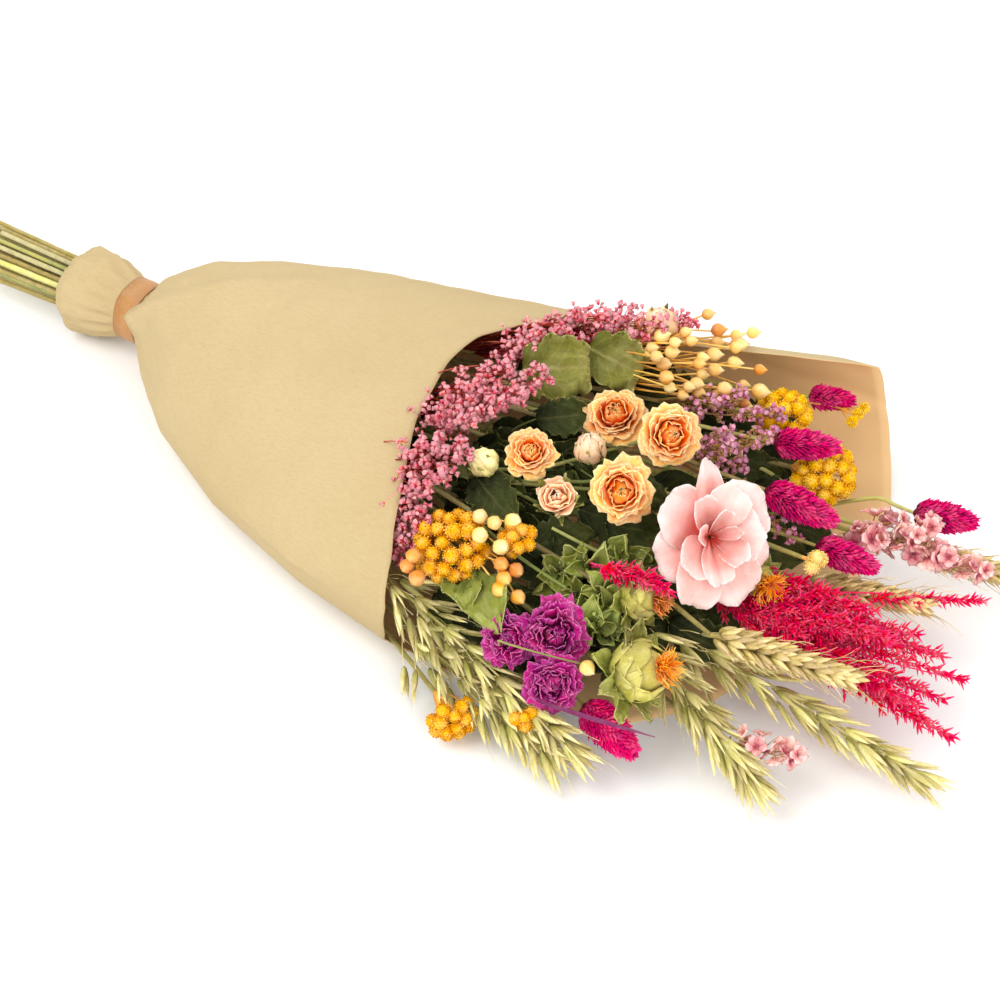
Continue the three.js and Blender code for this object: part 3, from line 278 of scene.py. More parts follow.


# The last colour, for the inside, is painted light: far paler than the outside of the same paper
kraft("kraft", (195, 174, 131), (190, 168, 123), (166, 137, 89), (248, 208, 152))
dried("tape", (172, 122, 70), (184, 134, 80), (176, 126, 74), vary=0.3, mottle=120, rough=0.55, bump=0.35, gloss=0.4)

# Stems and leaves: colour at the foot, middle and tip, and of the rim
dried("tailStem", (186, 170, 98), (196, 184, 120), (164, 154, 84), vary=0.8, mottle=60)
dried("paleStem", (206, 198, 142), (196, 190, 120), (176, 168, 96), vary=0.6, mottle=60)
dried("greenStem", (180, 172, 104), (140, 144, 76), (122, 130, 66), vary=0.5, mottle=90)
dried("redTwig", (128, 30, 16), (140, 26, 26), (184, 66, 60), vary=0.5)
dried("goldStalk", (214, 150, 52), (240, 176, 70), (244, 196, 102), vary=0.4, rough=0.6)
dried("greyCalyx", (146, 108, 58), (166, 126, 76), (188, 154, 104), vary=0.5)
dried("oliveLeaf", (98, 100, 36), (128, 128, 54), (156, 152, 76), (190, 180, 110), vary=0.5, veins=7.0, veinDepth=0.5,
      bump=1.0, edgeWidth=0.04, ribs=0.35, mottle=90)
dried("brightLeaf", (98, 108, 38), (136, 144, 58), (170, 174, 90), (190, 188, 118), vary=0.5, veins=5.0,
      veinDepth=0.3, bump=0.8, edgeWidth=0.03, ribs=0.25, gloss=0.3)
# Dark leaf colour that is partly painted shade: a near-black green so the gaps deep in the bunch read as shadow
dried("darkLeafAndShade", (34, 40, 14), (56, 64, 22), (84, 88, 36), (112, 112, 60), vary=0.5, veins=7.0, veinDepth=0.4,
      bump=0.9, edgeWidth=0.04, ribs=0.3)
dried("bract", (140, 142, 56), (180, 172, 82), (202, 190, 104), (192, 168, 96), vary=0.3, veins=7.0, veinDepth=0.3,
      edgeWidth=0.03, bump=0.6, ribs=0.15)
dried("blade", (112, 46, 82), (128, 52, 96), (146, 78, 110), vary=0.3, veins=9.0)

# Petals
dried("rosePeach", (224, 76, 14), (248, 132, 50), (254, 184, 106), (252, 218, 158), vary=0.3, edgeWidth=0.1,
      veins=7.0, veinDepth=0.3, mottle=140, bump=0.6, tintPull=0.35, glow=0.2)
dried("roseHeart", (206, 60, 4), (246, 116, 26), (252, 158, 66), (254, 206, 136), vary=0.25, edgeWidth=0.07,
      veins=7.0, veinDepth=0.2, bump=0.5, glow=0.2)
budLook = {"vary": 0.25, "edgeWidth": 0.05, "veins": 8.0, "veinDepth": 0.2}
dried("budCream", (216, 200, 116), (240, 224, 150), (250, 232, 168), (252, 240, 200), **budLook)
dried("budPink", (204, 196, 116), (248, 206, 160), (250, 206, 176), (252, 228, 196), **budLook)
dried("budPeach", (226, 130, 70), (246, 170, 120), (252, 206, 166), (252, 228, 190), **budLook)
dried("rosePurple", (92, 0, 58), (152, 8, 100), (178, 30, 122), (204, 104, 166), vary=0.5, edgeWidth=0.05, veins=8.0,
      veinDepth=0.25, bump=0.6, tintPull=0.2, glow=0.2)
dried("pith", (244, 96, 78), (252, 184, 174), (254, 218, 211), (255, 236, 231), vary=0.08, edgeWidth=0.04, veins=42.0,
      veinDepth=0.22, mottle=50, bump=0.6, rough=0.7, glow=0.15)

# Florets, scales, husks and pods
dried("goldFloret", (196, 108, 4), (234, 158, 12), (246, 190, 42), vary=0.45, mottle=260, tintPull=0.5, gloss=0.12)
dried("yellowFloret", (216, 142, 2), (246, 184, 8), (252, 206, 30), vary=0.4, mottle=260, tintPull=0.4, gloss=0.1)
dried("paleFloret", (216, 170, 72), (240, 204, 104), (250, 226, 146), vary=0.35)
scaleLook = {"vary": 0.4, "veins": 3.0, "veinDepth": 0.1, "gloss": 0.12}
dried("magentaScale", (120, 0, 48), (200, 0, 92), (232, 20, 128), tintPull=0.25, **scaleLook)
dried("hotPinkScale", (166, 0, 70), (226, 2, 104), (246, 36, 140), **scaleLook)
dried("crimson", (248, 0, 48), (255, 14, 84), (255, 56, 120), vary=0.22, tintPull=0.2, glow=0.6, gloss=0.08)
dried("orangeThread", (232, 100, 8), (250, 144, 18), (255, 186, 60), vary=0.4)
dried("brownThread", (140, 60, 16), (206, 100, 30), (236, 150, 70), vary=0.5)
dried("oatHusk", (164, 158, 82), (206, 194, 124), (236, 218, 158), (240, 228, 182), vary=0.5, tintPull=0.4, veins=6.0,
      veinDepth=0.4, edgeWidth=0.05, bump=0.6)
dried("wheatHusk", (166, 146, 78), (210, 188, 122), (236, 206, 152), (242, 220, 170), vary=0.45, veins=6.0,
      veinDepth=0.35, edgeWidth=0.05, bump=0.6)
podLook = {"rough": 0.5, "veins": 3.0, "veinDepth": 0.1, "gloss": 0.4, "bump": 0.2}
dried("flaxPod", (230, 160, 66), (246, 202, 116), (250, 220, 150), vary=0.35, **podLook)
dried("palePod", (224, 170, 76), (244, 206, 122), (250, 224, 156), vary=0.3, **podLook)
dried("rustPod", (190, 100, 30), (224, 148, 60), (240, 180, 96), vary=0.35, **podLook)
dried("broomFloret", (222, 70, 84), (242, 122, 132), (250, 168, 174), vary=0.4, tintPull=0.6, glow=0.2)
dried("lilacFloret", (168, 60, 98), (212, 112, 150), (236, 164, 188), vary=0.5)
dried("larkspurPetal", (206, 96, 106), (240, 168, 162), (253, 214, 206), (214, 108, 122), vary=0.5, glow=0.15,
      edgeWidth=0.04, veins=7.0, veinDepth=0.3)
print("materials built:", len(finishes))

# Meshes from lists of points

markNames = ("along", "across", "tone", "tint")
smallShapes = []  # kept until every piece is made


def storeMarks(mesh, marks):
    for label, values in marks.items():
        values = np.asarray(values, dtype=np.float32)
        kind, field = ("FLOAT_VECTOR", "vector") if values.ndim == 2 else ("FLOAT", "value")
        mesh.attributes.new(label, kind, "POINT").data.foreach_set(field, values.ravel())


class Heap:
    def __init__(self):
        self.points, self.marks, self.faces, self.count = [], [], [], 0

    def add(self, points, faces, along, across, tone=0.5, tint=0.5):
        size = len(points)
        self.points.append(np.asarray(points, dtype=float))
        columns = [np.broadcast_to(np.asarray(mark, dtype=float), size) for mark in (along, across, tone, tint)]
        self.marks.append(np.stack(columns, axis=1))
        self.faces.append(np.asarray(faces) + self.count)
        self.count += size

    def toMesh(self, finish, inPart=True):
        points = np.concatenate(self.points)
        faces = [face[:3] if face[2] == face[3] else face for block in self.faces for face in block.tolist()]
        mesh = bpy.data.meshes.new(finish)
        mesh.from_pydata((toPart(points) if inPart else points).tolist(), [], faces)
        storeMarks(mesh, dict(zip(markNames, np.concatenate(self.marks).T)))
        mesh.shade_smooth()
        mesh.materials.append(finishes[finish])
        mesh.update()
        return mesh


# The same number from 0 to 1 for the same seed
def draw(seed):
    x = math.sin(seed * 12.9898 + 4.1) * 43758.5453
    return x - math.floor(x)


def grain(x, y, z):
    return noise.noise(Vector((x, y, z)))


def turnsOf(sides):
    return np.linspace(0, 2 * np.pi, sides, endpoint=False)


# A grid of points from a function of how far along it a point is, 0 to 1, and how far across it, -1 to 1
def gridOf(rows, columns, spot):
    sides = [2 * i / columns - 1 for i in range(columns + 1)]
    return np.array([[spot(j / rows, side) for side in sides] for j in range(rows + 1)], float)


# A thin closed sheet round a grid of points, with rows along it and columns across it
def addSheet(heap, grid, thickness, tone=0.5, tint=0.5):
    rows, columns = grid.shape[:2]
    normals = np.cross(np.gradient(grid, axis=1), np.gradient(grid, axis=0))
    normals /= np.linalg.norm(normals, axis=2, keepdims=True) + 1e-9
    points = np.concatenate([(grid + side * normals * thickness / 2).reshape(-1, 3) for side in (1, -1)])
    back = rows * columns
    index = np.arange(back).reshape(rows, columns)
    quads = np.stack([index[:-1, :-1], index[:-1, 1:], index[1:, 1:], index[1:, :-1]], axis=2).reshape(-1, 4)
    loop = np.concatenate([index[0, :-1], index[:-1, -1], index[-1, :0:-1], index[:0:-1, 0]])
    after = np.roll(loop, -1)
    rims = np.stack([after, loop, loop + back, after + back], axis=1)
    along = np.tile(np.repeat(np.linspace(0, 1, rows), columns), 2)
    across = np.tile(np.tile(np.linspace(-1, 1, columns), rows), 2)
    heap.add(points, np.concatenate([quads, quads[:, ::-1] + back, rims]), along, across, tone, tint)


# A closed round form from rings of points, with a point at each end
def addRings(heap, rings, first, last, tone=0.5, tint=0.5):
    count, sides = rings.shape[:2]
    points = np.concatenate([[first], rings.reshape(-1, 3), [last]])
    index = 1 + np.arange(count * sides).reshape(count, sides)
    after = np.roll(index, -1, axis=1)
    quads = np.stack([index[:-1], after[:-1], after[1:], index[1:]], axis=2).reshape(-1, 4)
    foot = np.stack([np.zeros(sides, int), after[0], index[0], index[0]], axis=1)
    top = np.stack([np.full(sides, len(points) - 1), index[-1], after[-1], after[-1]], axis=1)
    along = np.concatenate([[0], np.repeat(np.linspace(0.1, 0.95, count), sides), [1]])
    across = np.concatenate([[0], np.tile(np.cos(turnsOf(sides)), count), [0]])
    heap.add(points, np.concatenate([foot, quads, top]), along, across, tone, tint)


# A round solid on an axis, from the radius and height of each ring and the heights of both ends
def addRound(heap, profile, ends, sides, at, axis, tone=0.5, tint=0.5, seams=0.0):
    def ring(radius, z):
        grooves = [radius * (1 - seams * (1 - abs(math.sin(2.5 * a))) ** 3) for a in turnsOf(sides)]
        return [(r * math.cos(a), r * math.sin(a), z) for r, a in zip(grooves, turnsOf(sides))]

    rings = placed(np.array([ring(*row) for row in profile]), at, axis)
    first, last = placed([(0, 0, z) for z in ends], at, axis)
    addRings(heap, rings, first, last, tone, tint)


# A closed sleeve from the points of its outside and its inside; the split says along which diagonal its outer
# faces are cut into triangles
def sleeve(outer, inner, finish, inward=0.0, split=0):
    rows, columns = outer.shape[:2]
    back = rows * columns
    index = np.arange(back).reshape(rows, columns)
    after = np.roll(index, -1, axis=1)
    outside = np.stack([index[:-1], after[:-1], after[1:], index[1:]], axis=2).reshape(-1, 4)
    inside = outside[:, [0, 3, 2, 1]] + back
    first = np.stack([after[0], index[0], index[0] + back, after[0] + back], axis=1)
    last = np.stack([index[-1], after[-1], after[-1] + back, index[-1] + back], axis=1)
    faces = np.concatenate([np.roll(outside, split, axis=1), inside, first, last])
    along = np.tile(np.repeat(np.linspace(0, 1, rows), columns), 2)
    heap = Heap()
    heap.add(np.concatenate([outer.reshape(-1, 3), inner.reshape(-1, 3)]), faces, along, np.repeat([0, inward], back))
    return heap.toMesh(finish)


def placed(points, at, axis):
    turned = np.array(Vector((0, 0, 1)).rotation_difference(unitOf(axis)).to_matrix())
    return (np.asarray(points).reshape(-1, 3) @ turned.T + np.array(at)).reshape(np.shape(points))


# Direction that leans away from an axis by an angle, turned round it
def leaning(axis, lean, turned):
    axis = unitOf(axis)
    first = axis.cross(Vector((0, 0, 1)) if abs(axis.z) < 0.9 else Vector((1, 0, 0))).normalized()
    second = axis.cross(first).normalized()
    return axis * math.cos(lean) + (first * math.cos(turned) + second * math.sin(turned)) * math.sin(lean)


# Geometry Nodes trees: a tube that follows a line, and a shape that repeats at points


# The last steps of both trees
def closeTree(tree, made, given, handed):
    made = put(tree, "GeometryNodeRealizeInstances", {0: made})
    made = put(tree, "GeometryNodeSetMaterial", {"Geometry": made, "Material": given["Material"]})
    tree.links.new(made, handed["Geometry"])


tubeTree, given, handed = newTree("tubeAlongLine", "GeometryNodeTree", {
    "Geometry": ("Geometry", None), "Sides": ("Int", 6), "Steps": ("Int", 4), "Wobble": ("Float", 0.0),
    "Wobble Scale": ("Float", 60.0), "Seed": ("Float", 3.0), "Material": ("Material", None),
}, {"Geometry": "Geometry"})
path = put(tubeTree, "GeometryNodeMeshToCurve", {"Mesh": given["Geometry"]})
path = put(tubeTree, "GeometryNodeCurveSplineType", {"Curve": path}, spline_type="CATMULL_ROM")
path = put(tubeTree, "GeometryNodeSetSplineResolution", {"Geometry": path, "Resolution": given["Steps"]})
width = put(tubeTree, "GeometryNodeInputNamedAttribute", {"Name": "radius"})
ring = put(tubeTree, "GeometryNodeCurvePrimitiveCircle", {"Resolution": given["Sides"], "Radius": 1.0})
tube = put(tubeTree, "GeometryNodeCurveToMesh",
           {"Curve": path, "Profile Curve": ring, "Scale": width, "Fill Caps": True})
shake = put(tubeTree, "ShaderNodeTexNoise", {"Scale": given["Wobble Scale"], "W": given["Seed"], "Detail": 2.0},
            "Color", noise_dimensions="4D")
shake = put(tubeTree, "ShaderNodeVectorMath", {0: shake, 1: (0.5, 0.5, 0.5)}, operation="SUBTRACT")
shake = put(tubeTree, "ShaderNodeVectorMath", {0: shake, "Scale": given["Wobble"]}, operation="SCALE")
tube = put(tubeTree, "GeometryNodeSetPosition", {"Geometry": tube, "Offset": shake})
closeTree(tubeTree, put(tubeTree, "GeometryNodeSetShadeSmooth", {0: tube}), given, handed)

scatterTree, given, handed = newTree("shapeAtPoints", "GeometryNodeTree", {
    "Geometry": ("Geometry", None), "Shape": ("Object", None), "Uneven": ("Float", 0.1), "Seed": ("Int", 7),
    "Material": ("Material", None),
}, {"Geometry": "Geometry"})
shape = put(scatterTree, "GeometryNodeObjectInfo", {"Object": given["Shape"]}, "Geometry")
aim, size = (put(scatterTree, "GeometryNodeInputNamedAttribute", {"Name": name}, data_type="FLOAT_VECTOR")
             for name in ("aim", "size"))
spin = put(scatterTree, "GeometryNodeInputNamedAttribute", {"Name": "spin"})
spun = put(scatterTree, "FunctionNodeAxisAngleToRotation", {"Axis": (0, 0, 1), "Angle": spin})
aimed = put(scatterTree, "FunctionNodeAlignRotationToVector", {"Vector": aim}, axis="Z")
aimed = put(scatterTree, "FunctionNodeRotateRotation", {"Rotation": aimed, "Rotate By": spun}, rotation_space="LOCAL")
uneven = put(scatterTree, "FunctionNodeRandomValue", {
    2: counted(scatterTree, "SUBTRACT", 1.0, given["Uneven"]), 3: counted(scatterTree, "ADD", 1.0, given["Uneven"]),
    "Seed": given["Seed"],
}, 1, data_type="FLOAT")
size = put(scatterTree, "ShaderNodeVectorMath", {0: size, "Scale": uneven}, operation="SCALE")
spread = put(scatterTree, "GeometryNodeInstanceOnPoints",
             {"Points": given["Geometry"], "Instance": shape, "Rotation": aimed, "Scale": size})
closeTree(scatterTree, spread, given, handed)


# Runs a tree on a mesh and hands back the plain mesh that it makes
def grown(tree, mesh, settings):
    carrier = inScene("carrier", mesh)
    modifier = carrier.modifiers.new("grow", "NODES")
    modifier.node_group = tree
    for item in tree.interface.items_tree:
        if item.in_out == "INPUT" and item.name in settings:
            modifier[item.identifier] = settings[item.name]
    made = bpy.data.meshes.new_from_object(carrier.evaluated_get(bpy.context.evaluated_depsgraph_get()))
    bpy.data.objects.remove(carrier)
    bpy.data.meshes.remove(mesh)
    return made


# Tubes: each line has its points, its radii from end to end and, if it isn't drawn, its tone
def tubes(lines, finish, sides=6, steps=4, wobble=0.0):
    points, edges, rows = [], [], []
    for number, (path, radii, *tone) in enumerate(lines):
        shares = np.linspace(0, 1, len(path))
        edges += [(len(points) + i, len(points) + i + 1) for i in range(len(path) - 1)]
        points += [tuple(p) for p in path]
        widths = np.interp(shares, np.linspace(0, 1, len(radii)), radii)
        rows += [(w * mm, s, 0.0, tone[0] if tone else draw(number), 0.5) for w, s in zip(widths, shares)]
    mesh = bpy.data.meshes.new("lines")
    mesh.from_pydata(toPart(points).tolist(), edges, [])
    storeMarks(mesh, dict(zip(("radius", *markNames), np.array(rows).T)))
    settings = {"Sides": sides, "Steps": steps, "Wobble": wobble * mm, "Material": finishes[finish]}
    return grown(tubeTree, mesh, settings)


class Spots:
    def __init__(self):
        self.rows = []

    def add(self, at, aim, size, spin=0.0, tone=0.5, tint=0.5):
        size = (size, size, size) if isinstance(size, (int, float)) else size
        self.rows.append((*at, *aim, *size, spin, tone, tint))

    def grow(self, shape, finish, uneven=0.1):
        table = np.array(self.rows, dtype=float)
        mesh = bpy.data.meshes.new("spots")
        mesh.from_pydata(toPart(table[:, :3]).tolist(), [], [])
        storeMarks(mesh, {"aim": table[:, 3:6], "size": table[:, 6:9] * mm, "spin": table[:, 9],
                          "tone": table[:, 10], "tint": table[:, 11]})
        return grown(scatterTree, mesh, {"Shape": shape, "Uneven": uneven, "Material": finishes[finish]})


# A small shape that is repeated, one millimetre to a unit, along +Z
def smallShape(name, heap):
    mesh = heap.toMesh("greenStem", inPart=False)
    for label in ("tone", "tint"):
        mesh.attributes.remove(mesh.attributes[label])
    smallShapes.append(inScene(name, mesh))
    return smallShapes[-1]


def finishPiece(node, meshes, slot):
    parts = [inScene("part", mesh) for mesh in meshes if mesh]
    if len(parts) > 1:
        with bpy.context.temp_override(active_object=parts[0], object=parts[0], selected_objects=parts,
                                       selected_editable_objects=parts):
            bpy.ops.object.join()
    piece = parts[0]
    piece.name = piece.data.name = node + "_full"
    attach(piece, "root")
    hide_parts(node)


# Kraft paper: the same sections as the source, on a finer grid, with pleats gathered at the tie

paperSections = [
    # x, far, near, top, middle, bottom, flatness and squareness of the near side and base
    (-46, 21, 21, 47, 26, 3, 1, 1), (-40, 24.5, 23.5, 51, 26, 0, 1, 1), (-26, 24, 22.5, 51, 26, 2, 1, 1),
    (-14, 19, 19, 46, 27, 8, 1, 1), (-8, 17, 17, 44, 27, 10, 1, 1),
    (8, 17, 17, 44, 27, 10, 1, 1), (17, 31, 27, 56, 27, 5, 1.1, 1), (34, 49, 44, 65, 28, 0, 1.35, 0.95),
    (64, 63, 69, 72, 31, 0, 1.4, 0.9), (120, 81, 99, 79, 36, 0, 1.5, 0.8), (190, 95, 122, 85, 40, 0, 1.5, 0.75),
    (300, 119, 142, 94, 44, 0, 1.5, 0.75), (430, 138, 150, 96, 44, 0, 1.5, 0.8),
]
# How far the mouth reaches at each angle round it: 0 is the far side, 90 the top
paperEdge = [
    (0, 391), (20, 389), (30, 388), (38, 366), (50, 262), (60, 222), (75, 207), (90, 205), (110, 214), (130, 231),
    (150, 246), (170, 253), (190, 252), (205, 246), (215, 258), (225, 312), (235, 366), (250, 394), (270, 412),
    (290, 420), (310, 416), (340, 399), (360, 391),
]
lapLine = [(10, 30, 60, 100), (150, 114, 88, 68)]  # at what angle the near panel's edge lies, from the tie on
wrap = {"columns": 170, "rows": 104, "thickness": 0.6, "start": -44, "crowding": 1.35, "ragged": 3, "tapeEdge": 8,
        "pleats": 13, "pleatDepth": 0.6, "collarDepth": 1.3, "collarFold": 1.2, "swell": 1.6, "wrinkle": 1.2,
        "lap": 3.4, "corner": 3.2, "cornerReach": 6, "farCorner": 13}


def smoothStep(x, low, high):
    t = np.clip((x - low) / (high - low), 0, 1)
    return t * t * (3 - 2 * t)


# Rises from one x to the next and fades again from the third to the fourth
def between(x, rise, risen, fade, faded):
    return smoothStep(x, rise, risen) * (1 - smoothStep(x, fade, faded))


def paperPoint(x, degrees):
    columns = np.array(paperSections, dtype=float).T
    far, near, top, mid, low, flat, square = (float(np.interp(x, columns[0], values)) for values in columns[1:])
    angle = math.radians(degrees)
    across, lifted = math.cos(angle), math.sin(angle)
    gathered = smoothStep(max(0.0, abs(x) - wrap["tapeEdge"]), 0, 7) * (1 - smoothStep(x, 25, 110))
    fold = math.sin(wrap["pleats"] * angle + 1.7 * math.sin(2 * angle) + 0.8 * math.sin(0.11 * x))
    if x < 0:
        crushed = grain(x * 0.05, across * 2.6, lifted * 2.6 + 9)
        sharp = abs(grain(x * 0.11 + 3, across * 5, lifted * 5))
        swell = wrap["collarDepth"] * smoothStep(-x, 8, 30) * (1.5 * crushed - 1.2 * sharp + 0.25)
        swell += wrap["collarFold"] * fold * between(-x, 8, 12, 12, 34)
    else:
        swell = wrap["pleatDepth"] * gathered * fold
    broad = grain(x * 0.012, across * 1.6, lifted * 1.6 + 5)
    crease = abs(grain(x * 0.05, across * 4, lifted * 4))
    swell += smoothStep(x, 15, 60) * (wrap["swell"] * broad + wrap["wrinkle"] * crease)
    fromLap = degrees - float(np.interp(x, *lapLine))
    swell += wrap["lap"] * max(0.0, 1 - abs(fromLap) / (34 if fromLap > 0 else 9)) * between(x, 9, 15, 60, 125)
    corner = max(0.0, 1 - abs(fromLap) / (26 if fromLap > 0 else 18)) * between(x, 8, 13, 13, 36)
    swell += wrap["corner"] * corner
    wide = abs(across) ** (square if lifted < 0 else 1)
    y = far * wide if across > 0 else -near * wide
    z = mid + (top - mid) * lifted if lifted >= 0 else max(low, mid + (mid - low) * flat * lifted)
    if lifted < 0 and x > 20:  # the underside lies on the surface
        swell = min(swell, 0) * 0.4
    point = Vector((x, y, z)) + Vector((0, y, z - mid)).normalized() * swell
    if x > wrap["tapeEdge"]:
        point.x -= wrap["cornerReach"] * corner
    if degrees < 90:  # the far corner stands up
        point.z += wrap["farCorner"] * smoothStep(x, 290, 390) * between(degrees, 8, 26, 50, 80)
    point.z = max(point.z, 0.0)
    return point


def paperWrap():
    columns, rows, start = wrap["columns"], wrap["rows"], wrap["start"]
    grid = np.zeros((rows, columns, 3))
    for column in range(columns):
        degrees = 360 * column / columns
        reach = float(np.interp(degrees, *zip(*paperEdge)))
        around = math.radians(degrees)
        ragged = wrap["ragged"] * grain(1.3 * math.cos(around), 1.3 * math.sin(around), 1)
        for row in range(rows):
            share = row / (rows - 1)
            x = start + ragged + (reach - ragged - start) * share ** wrap["crowding"]
            grid[row, column] = paperPoint(x, degrees)
    around = np.roll(grid, -1, axis=1) - np.roll(grid, 1, axis=1)
    inwards = np.cross(np.gradient(grid, axis=0), around)
    inwards /= np.linalg.norm(inwards, axis=2, keepdims=True)
    return sleeve(grid, grid + inwards * wrap["thickness"], "kraft", 1.0)


finishPiece("paper_wrap", [paperWrap()], "paper")
print("paper wrapped")

# The tape round the neck, with soft wrinkles

tape = {"halfWidth": 7, "inner": 17.45, "outer": 18.25, "columns": 140, "rows": 10, "waver": 0.3, "wrinkle": 0.25}


def tieTape():
    x, angle = np.meshgrid(np.linspace(-tape["halfWidth"], tape["halfWidth"], tape["rows"] + 1),
                           turnsOf(tape["columns"]), indexing="ij")
    creases = np.vectorize(lambda x, angle: grain(x * 0.5, math.cos(angle) * 9, math.sin(angle) * 9))(x, angle)
    rise = (tape["outer"] - tape["inner"]) * (1 - tape["wrinkle"] + tape["wrinkle"] * creases)

    def shell(radius):
        wavy = x + tape["waver"] * np.sin(5 * angle)
        return np.stack([wavy, radius * np.cos(angle), tieHeight + radius * np.sin(angle)], axis=2)

    return sleeve(shell(tape["inner"] + rise), shell(np.full_like(rise, tape["inner"])), "tape", split=-1)


finishPiece("tie_band", [tieTape()], "tie")

# Stems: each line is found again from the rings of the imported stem

stem = {"cadRadius": 1.5, "radius": 1.35, "knot": 0.12, "piece": 14, "wobble": 0.25}


def stemLine(node, head):
    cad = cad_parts[node].data
    points = np.empty(len(cad.vertices) * 3)
    cad.vertices.foreach_get("co", points)
    points = np.unique(np.round(points.reshape(-1, 3) / mm - tieOrigin, 2), axis=0)
    points = points[points[:, 0] < head[0] - 1]
    centres, used = [], np.zeros(len(points), bool)
    for number, point in enumerate(points):
        near = np.where(np.linalg.norm(points - point, axis=1) < 2.3 * stem["cadRadius"])[0]
        if used[number] or len(near) not in (3, 4):
            continue
        middle = points[near].mean(axis=0)
        away = np.linalg.norm(points[near] - middle, axis=1)
        if np.all(np.abs(away - stem["cadRadius"]) < 0.12):
            centres.append(middle)
            used[near] = True
    return [Vector(c) for c in sorted(centres, key=lambda c: c[0])] + [Vector(head)]


# The stem of a piece, with slight knots between its ends
def stemTube(node, head, radius=stem["radius"], thinTo=1.0, finish="tailStem"):
    line = stemLine(node, head)
    fine = []
    for a, b in zip(line, line[1:]):
        steps = max(2, int((b - a).length / stem["piece"]))
        fine += [a.lerp(b, i / steps) for i in range(steps)]
    fine.append(line[-1])
    radii = [radius * (1 + stem["knot"] * (draw(len(fine) + i * 7) > 0.8)) for i in range(len(fine))]
    radii[-3:] = [radius * 0.95, radius * 0.9, thinTo]
    if finish == "tailStem" and node[-1] in "25":
        finish = "paleStem"
    return tubes([(fine, radii, draw(head[0] + len(node)))], finish, 8, 3, stem["wobble"])


def pointOn(line, x):
    xs = [p.x for p in line]
    return Vector((x, *(float(np.interp(x, xs, [p[i] for p in line])) for i in (1, 2))))


# A line from one point to another that bends between them
def bent(start, end, bow=0.12, seed=0, steps=5):
    start, end = Vector(start), Vector(end)
    way = end - start
    side = way.cross(Vector([draw(seed + i) - 0.5 for i in range(3)])).normalized()
    shares = [i / steps for i in range(steps + 1)]
    return [start + way * t + side * way.length * bow * math.sin(math.pi * t) for t in shares]


# Leaves

leaf = {"large": (16, 10), "small": (8, 6), "smallLength": 22, "thickness": 0.35}


def serrated(t):
    tooth = 1.0 - 0.3 * (1 - abs(math.sin(5.5 * math.pi * t)))
    return 0.36 * math.sin(math.pi * (0.04 + 0.96 * t**0.9)) ** 0.75 * tooth


def lobed(t):
    tooth = 1 - 0.2 * (1 - abs(math.sin(3.5 * math.pi * t + 0.4))) ** 1.4
    return 0.5 * math.sin(math.pi * (0.07 + 0.86 * t)) ** 0.32 * tooth


def broad(t):
    return 0.44 * math.sin(math.pi * min(1, 0.04 + 0.96 * t**0.85)) ** 0.9 + 0.004


def ovate(t):
    return 0.33 * math.sin(math.pi * min(1, 0.05 + 0.95 * t**0.8)) + 0.004


def addLeaf(heap, middle, direction, up, length, outline, seed=0, curl=0.25, cup=0.3, fold=0.0, wave=0.06,
            deep=False):
    def spot(t, side):
        uneven = 1 + 0.22 * grain(t * 3.4, seed * 1.7, 4 if side > 0 else 8)
        half = max(outline(t) * length * uneven, 0.25)
        ripple = wave * length * grain(t * 4 + seed, side * 2.4, seed * 3)
        crumple = 0.35 * wave * length * grain(t * 11 + seed, side * 6, seed)
        veins = 0.014 * length * math.sin(30 * (t - 0.35 * abs(side))) * math.sin(math.pi * abs(side))
        z = length * curl * t * (0.9 - t) + cup * half * side * side + ripple * (0.4 + abs(side)) + crumple
        z += veins + fold * half * abs(side) - 0.03 * length * (abs(side) < 0.01)
        return length * t, half * side * (1 - 0.25 * fold) + ripple * 0.3, z

    reach = unitOf(direction)
    side = Vector(up).cross(reach).normalized()
    basis = np.array([reach, side, reach.cross(side)])
    grid = gridOf(*leaf["small" if deep or length < leaf["smallLength"] else "large"], spot)
    root = Vector(middle) - reach * length / 2
    addSheet(heap, grid @ basis + np.array(root), leaf["thickness"], draw(seed), draw(seed + 5))
    return root


# Roses: petals wound round the middle, tight and deep inside, open and ruffled outside

peachForm = {"petals": 21, "grid": (8, 15), "frill": 0.05, "crumple": 0.05, "warp": 0.09, "spread": 1.0,
             "innerTurn": 1.5, "outerTurn": 0.9, "uneven": 0.14}
purpleForm = {"petals": 34, "grid": (6, 11), "frill": 0.08, "crumple": 0.08, "warp": 0.16, "spread": 1.0,
              "innerTurn": 1.0, "outerTurn": 0.62, "uneven": 0.14}
halfOpenForm = {"petals": 13, "grid": (8, 14), "frill": 0.04, "crumple": 0.06, "warp": 0.12, "spread": 0.75,
                "innerTurn": 1.5, "outerTurn": 1.1, "uneven": 0.1}
bud = {"petals": 9, "grid": (8, 7), "thickness": 0.35, "openness": 0.35}
petalThickness, heartShare = 0.3, 0.4  # the first petals are the heart
footShare = 0.55  # how much of a bloom's height is below its middle


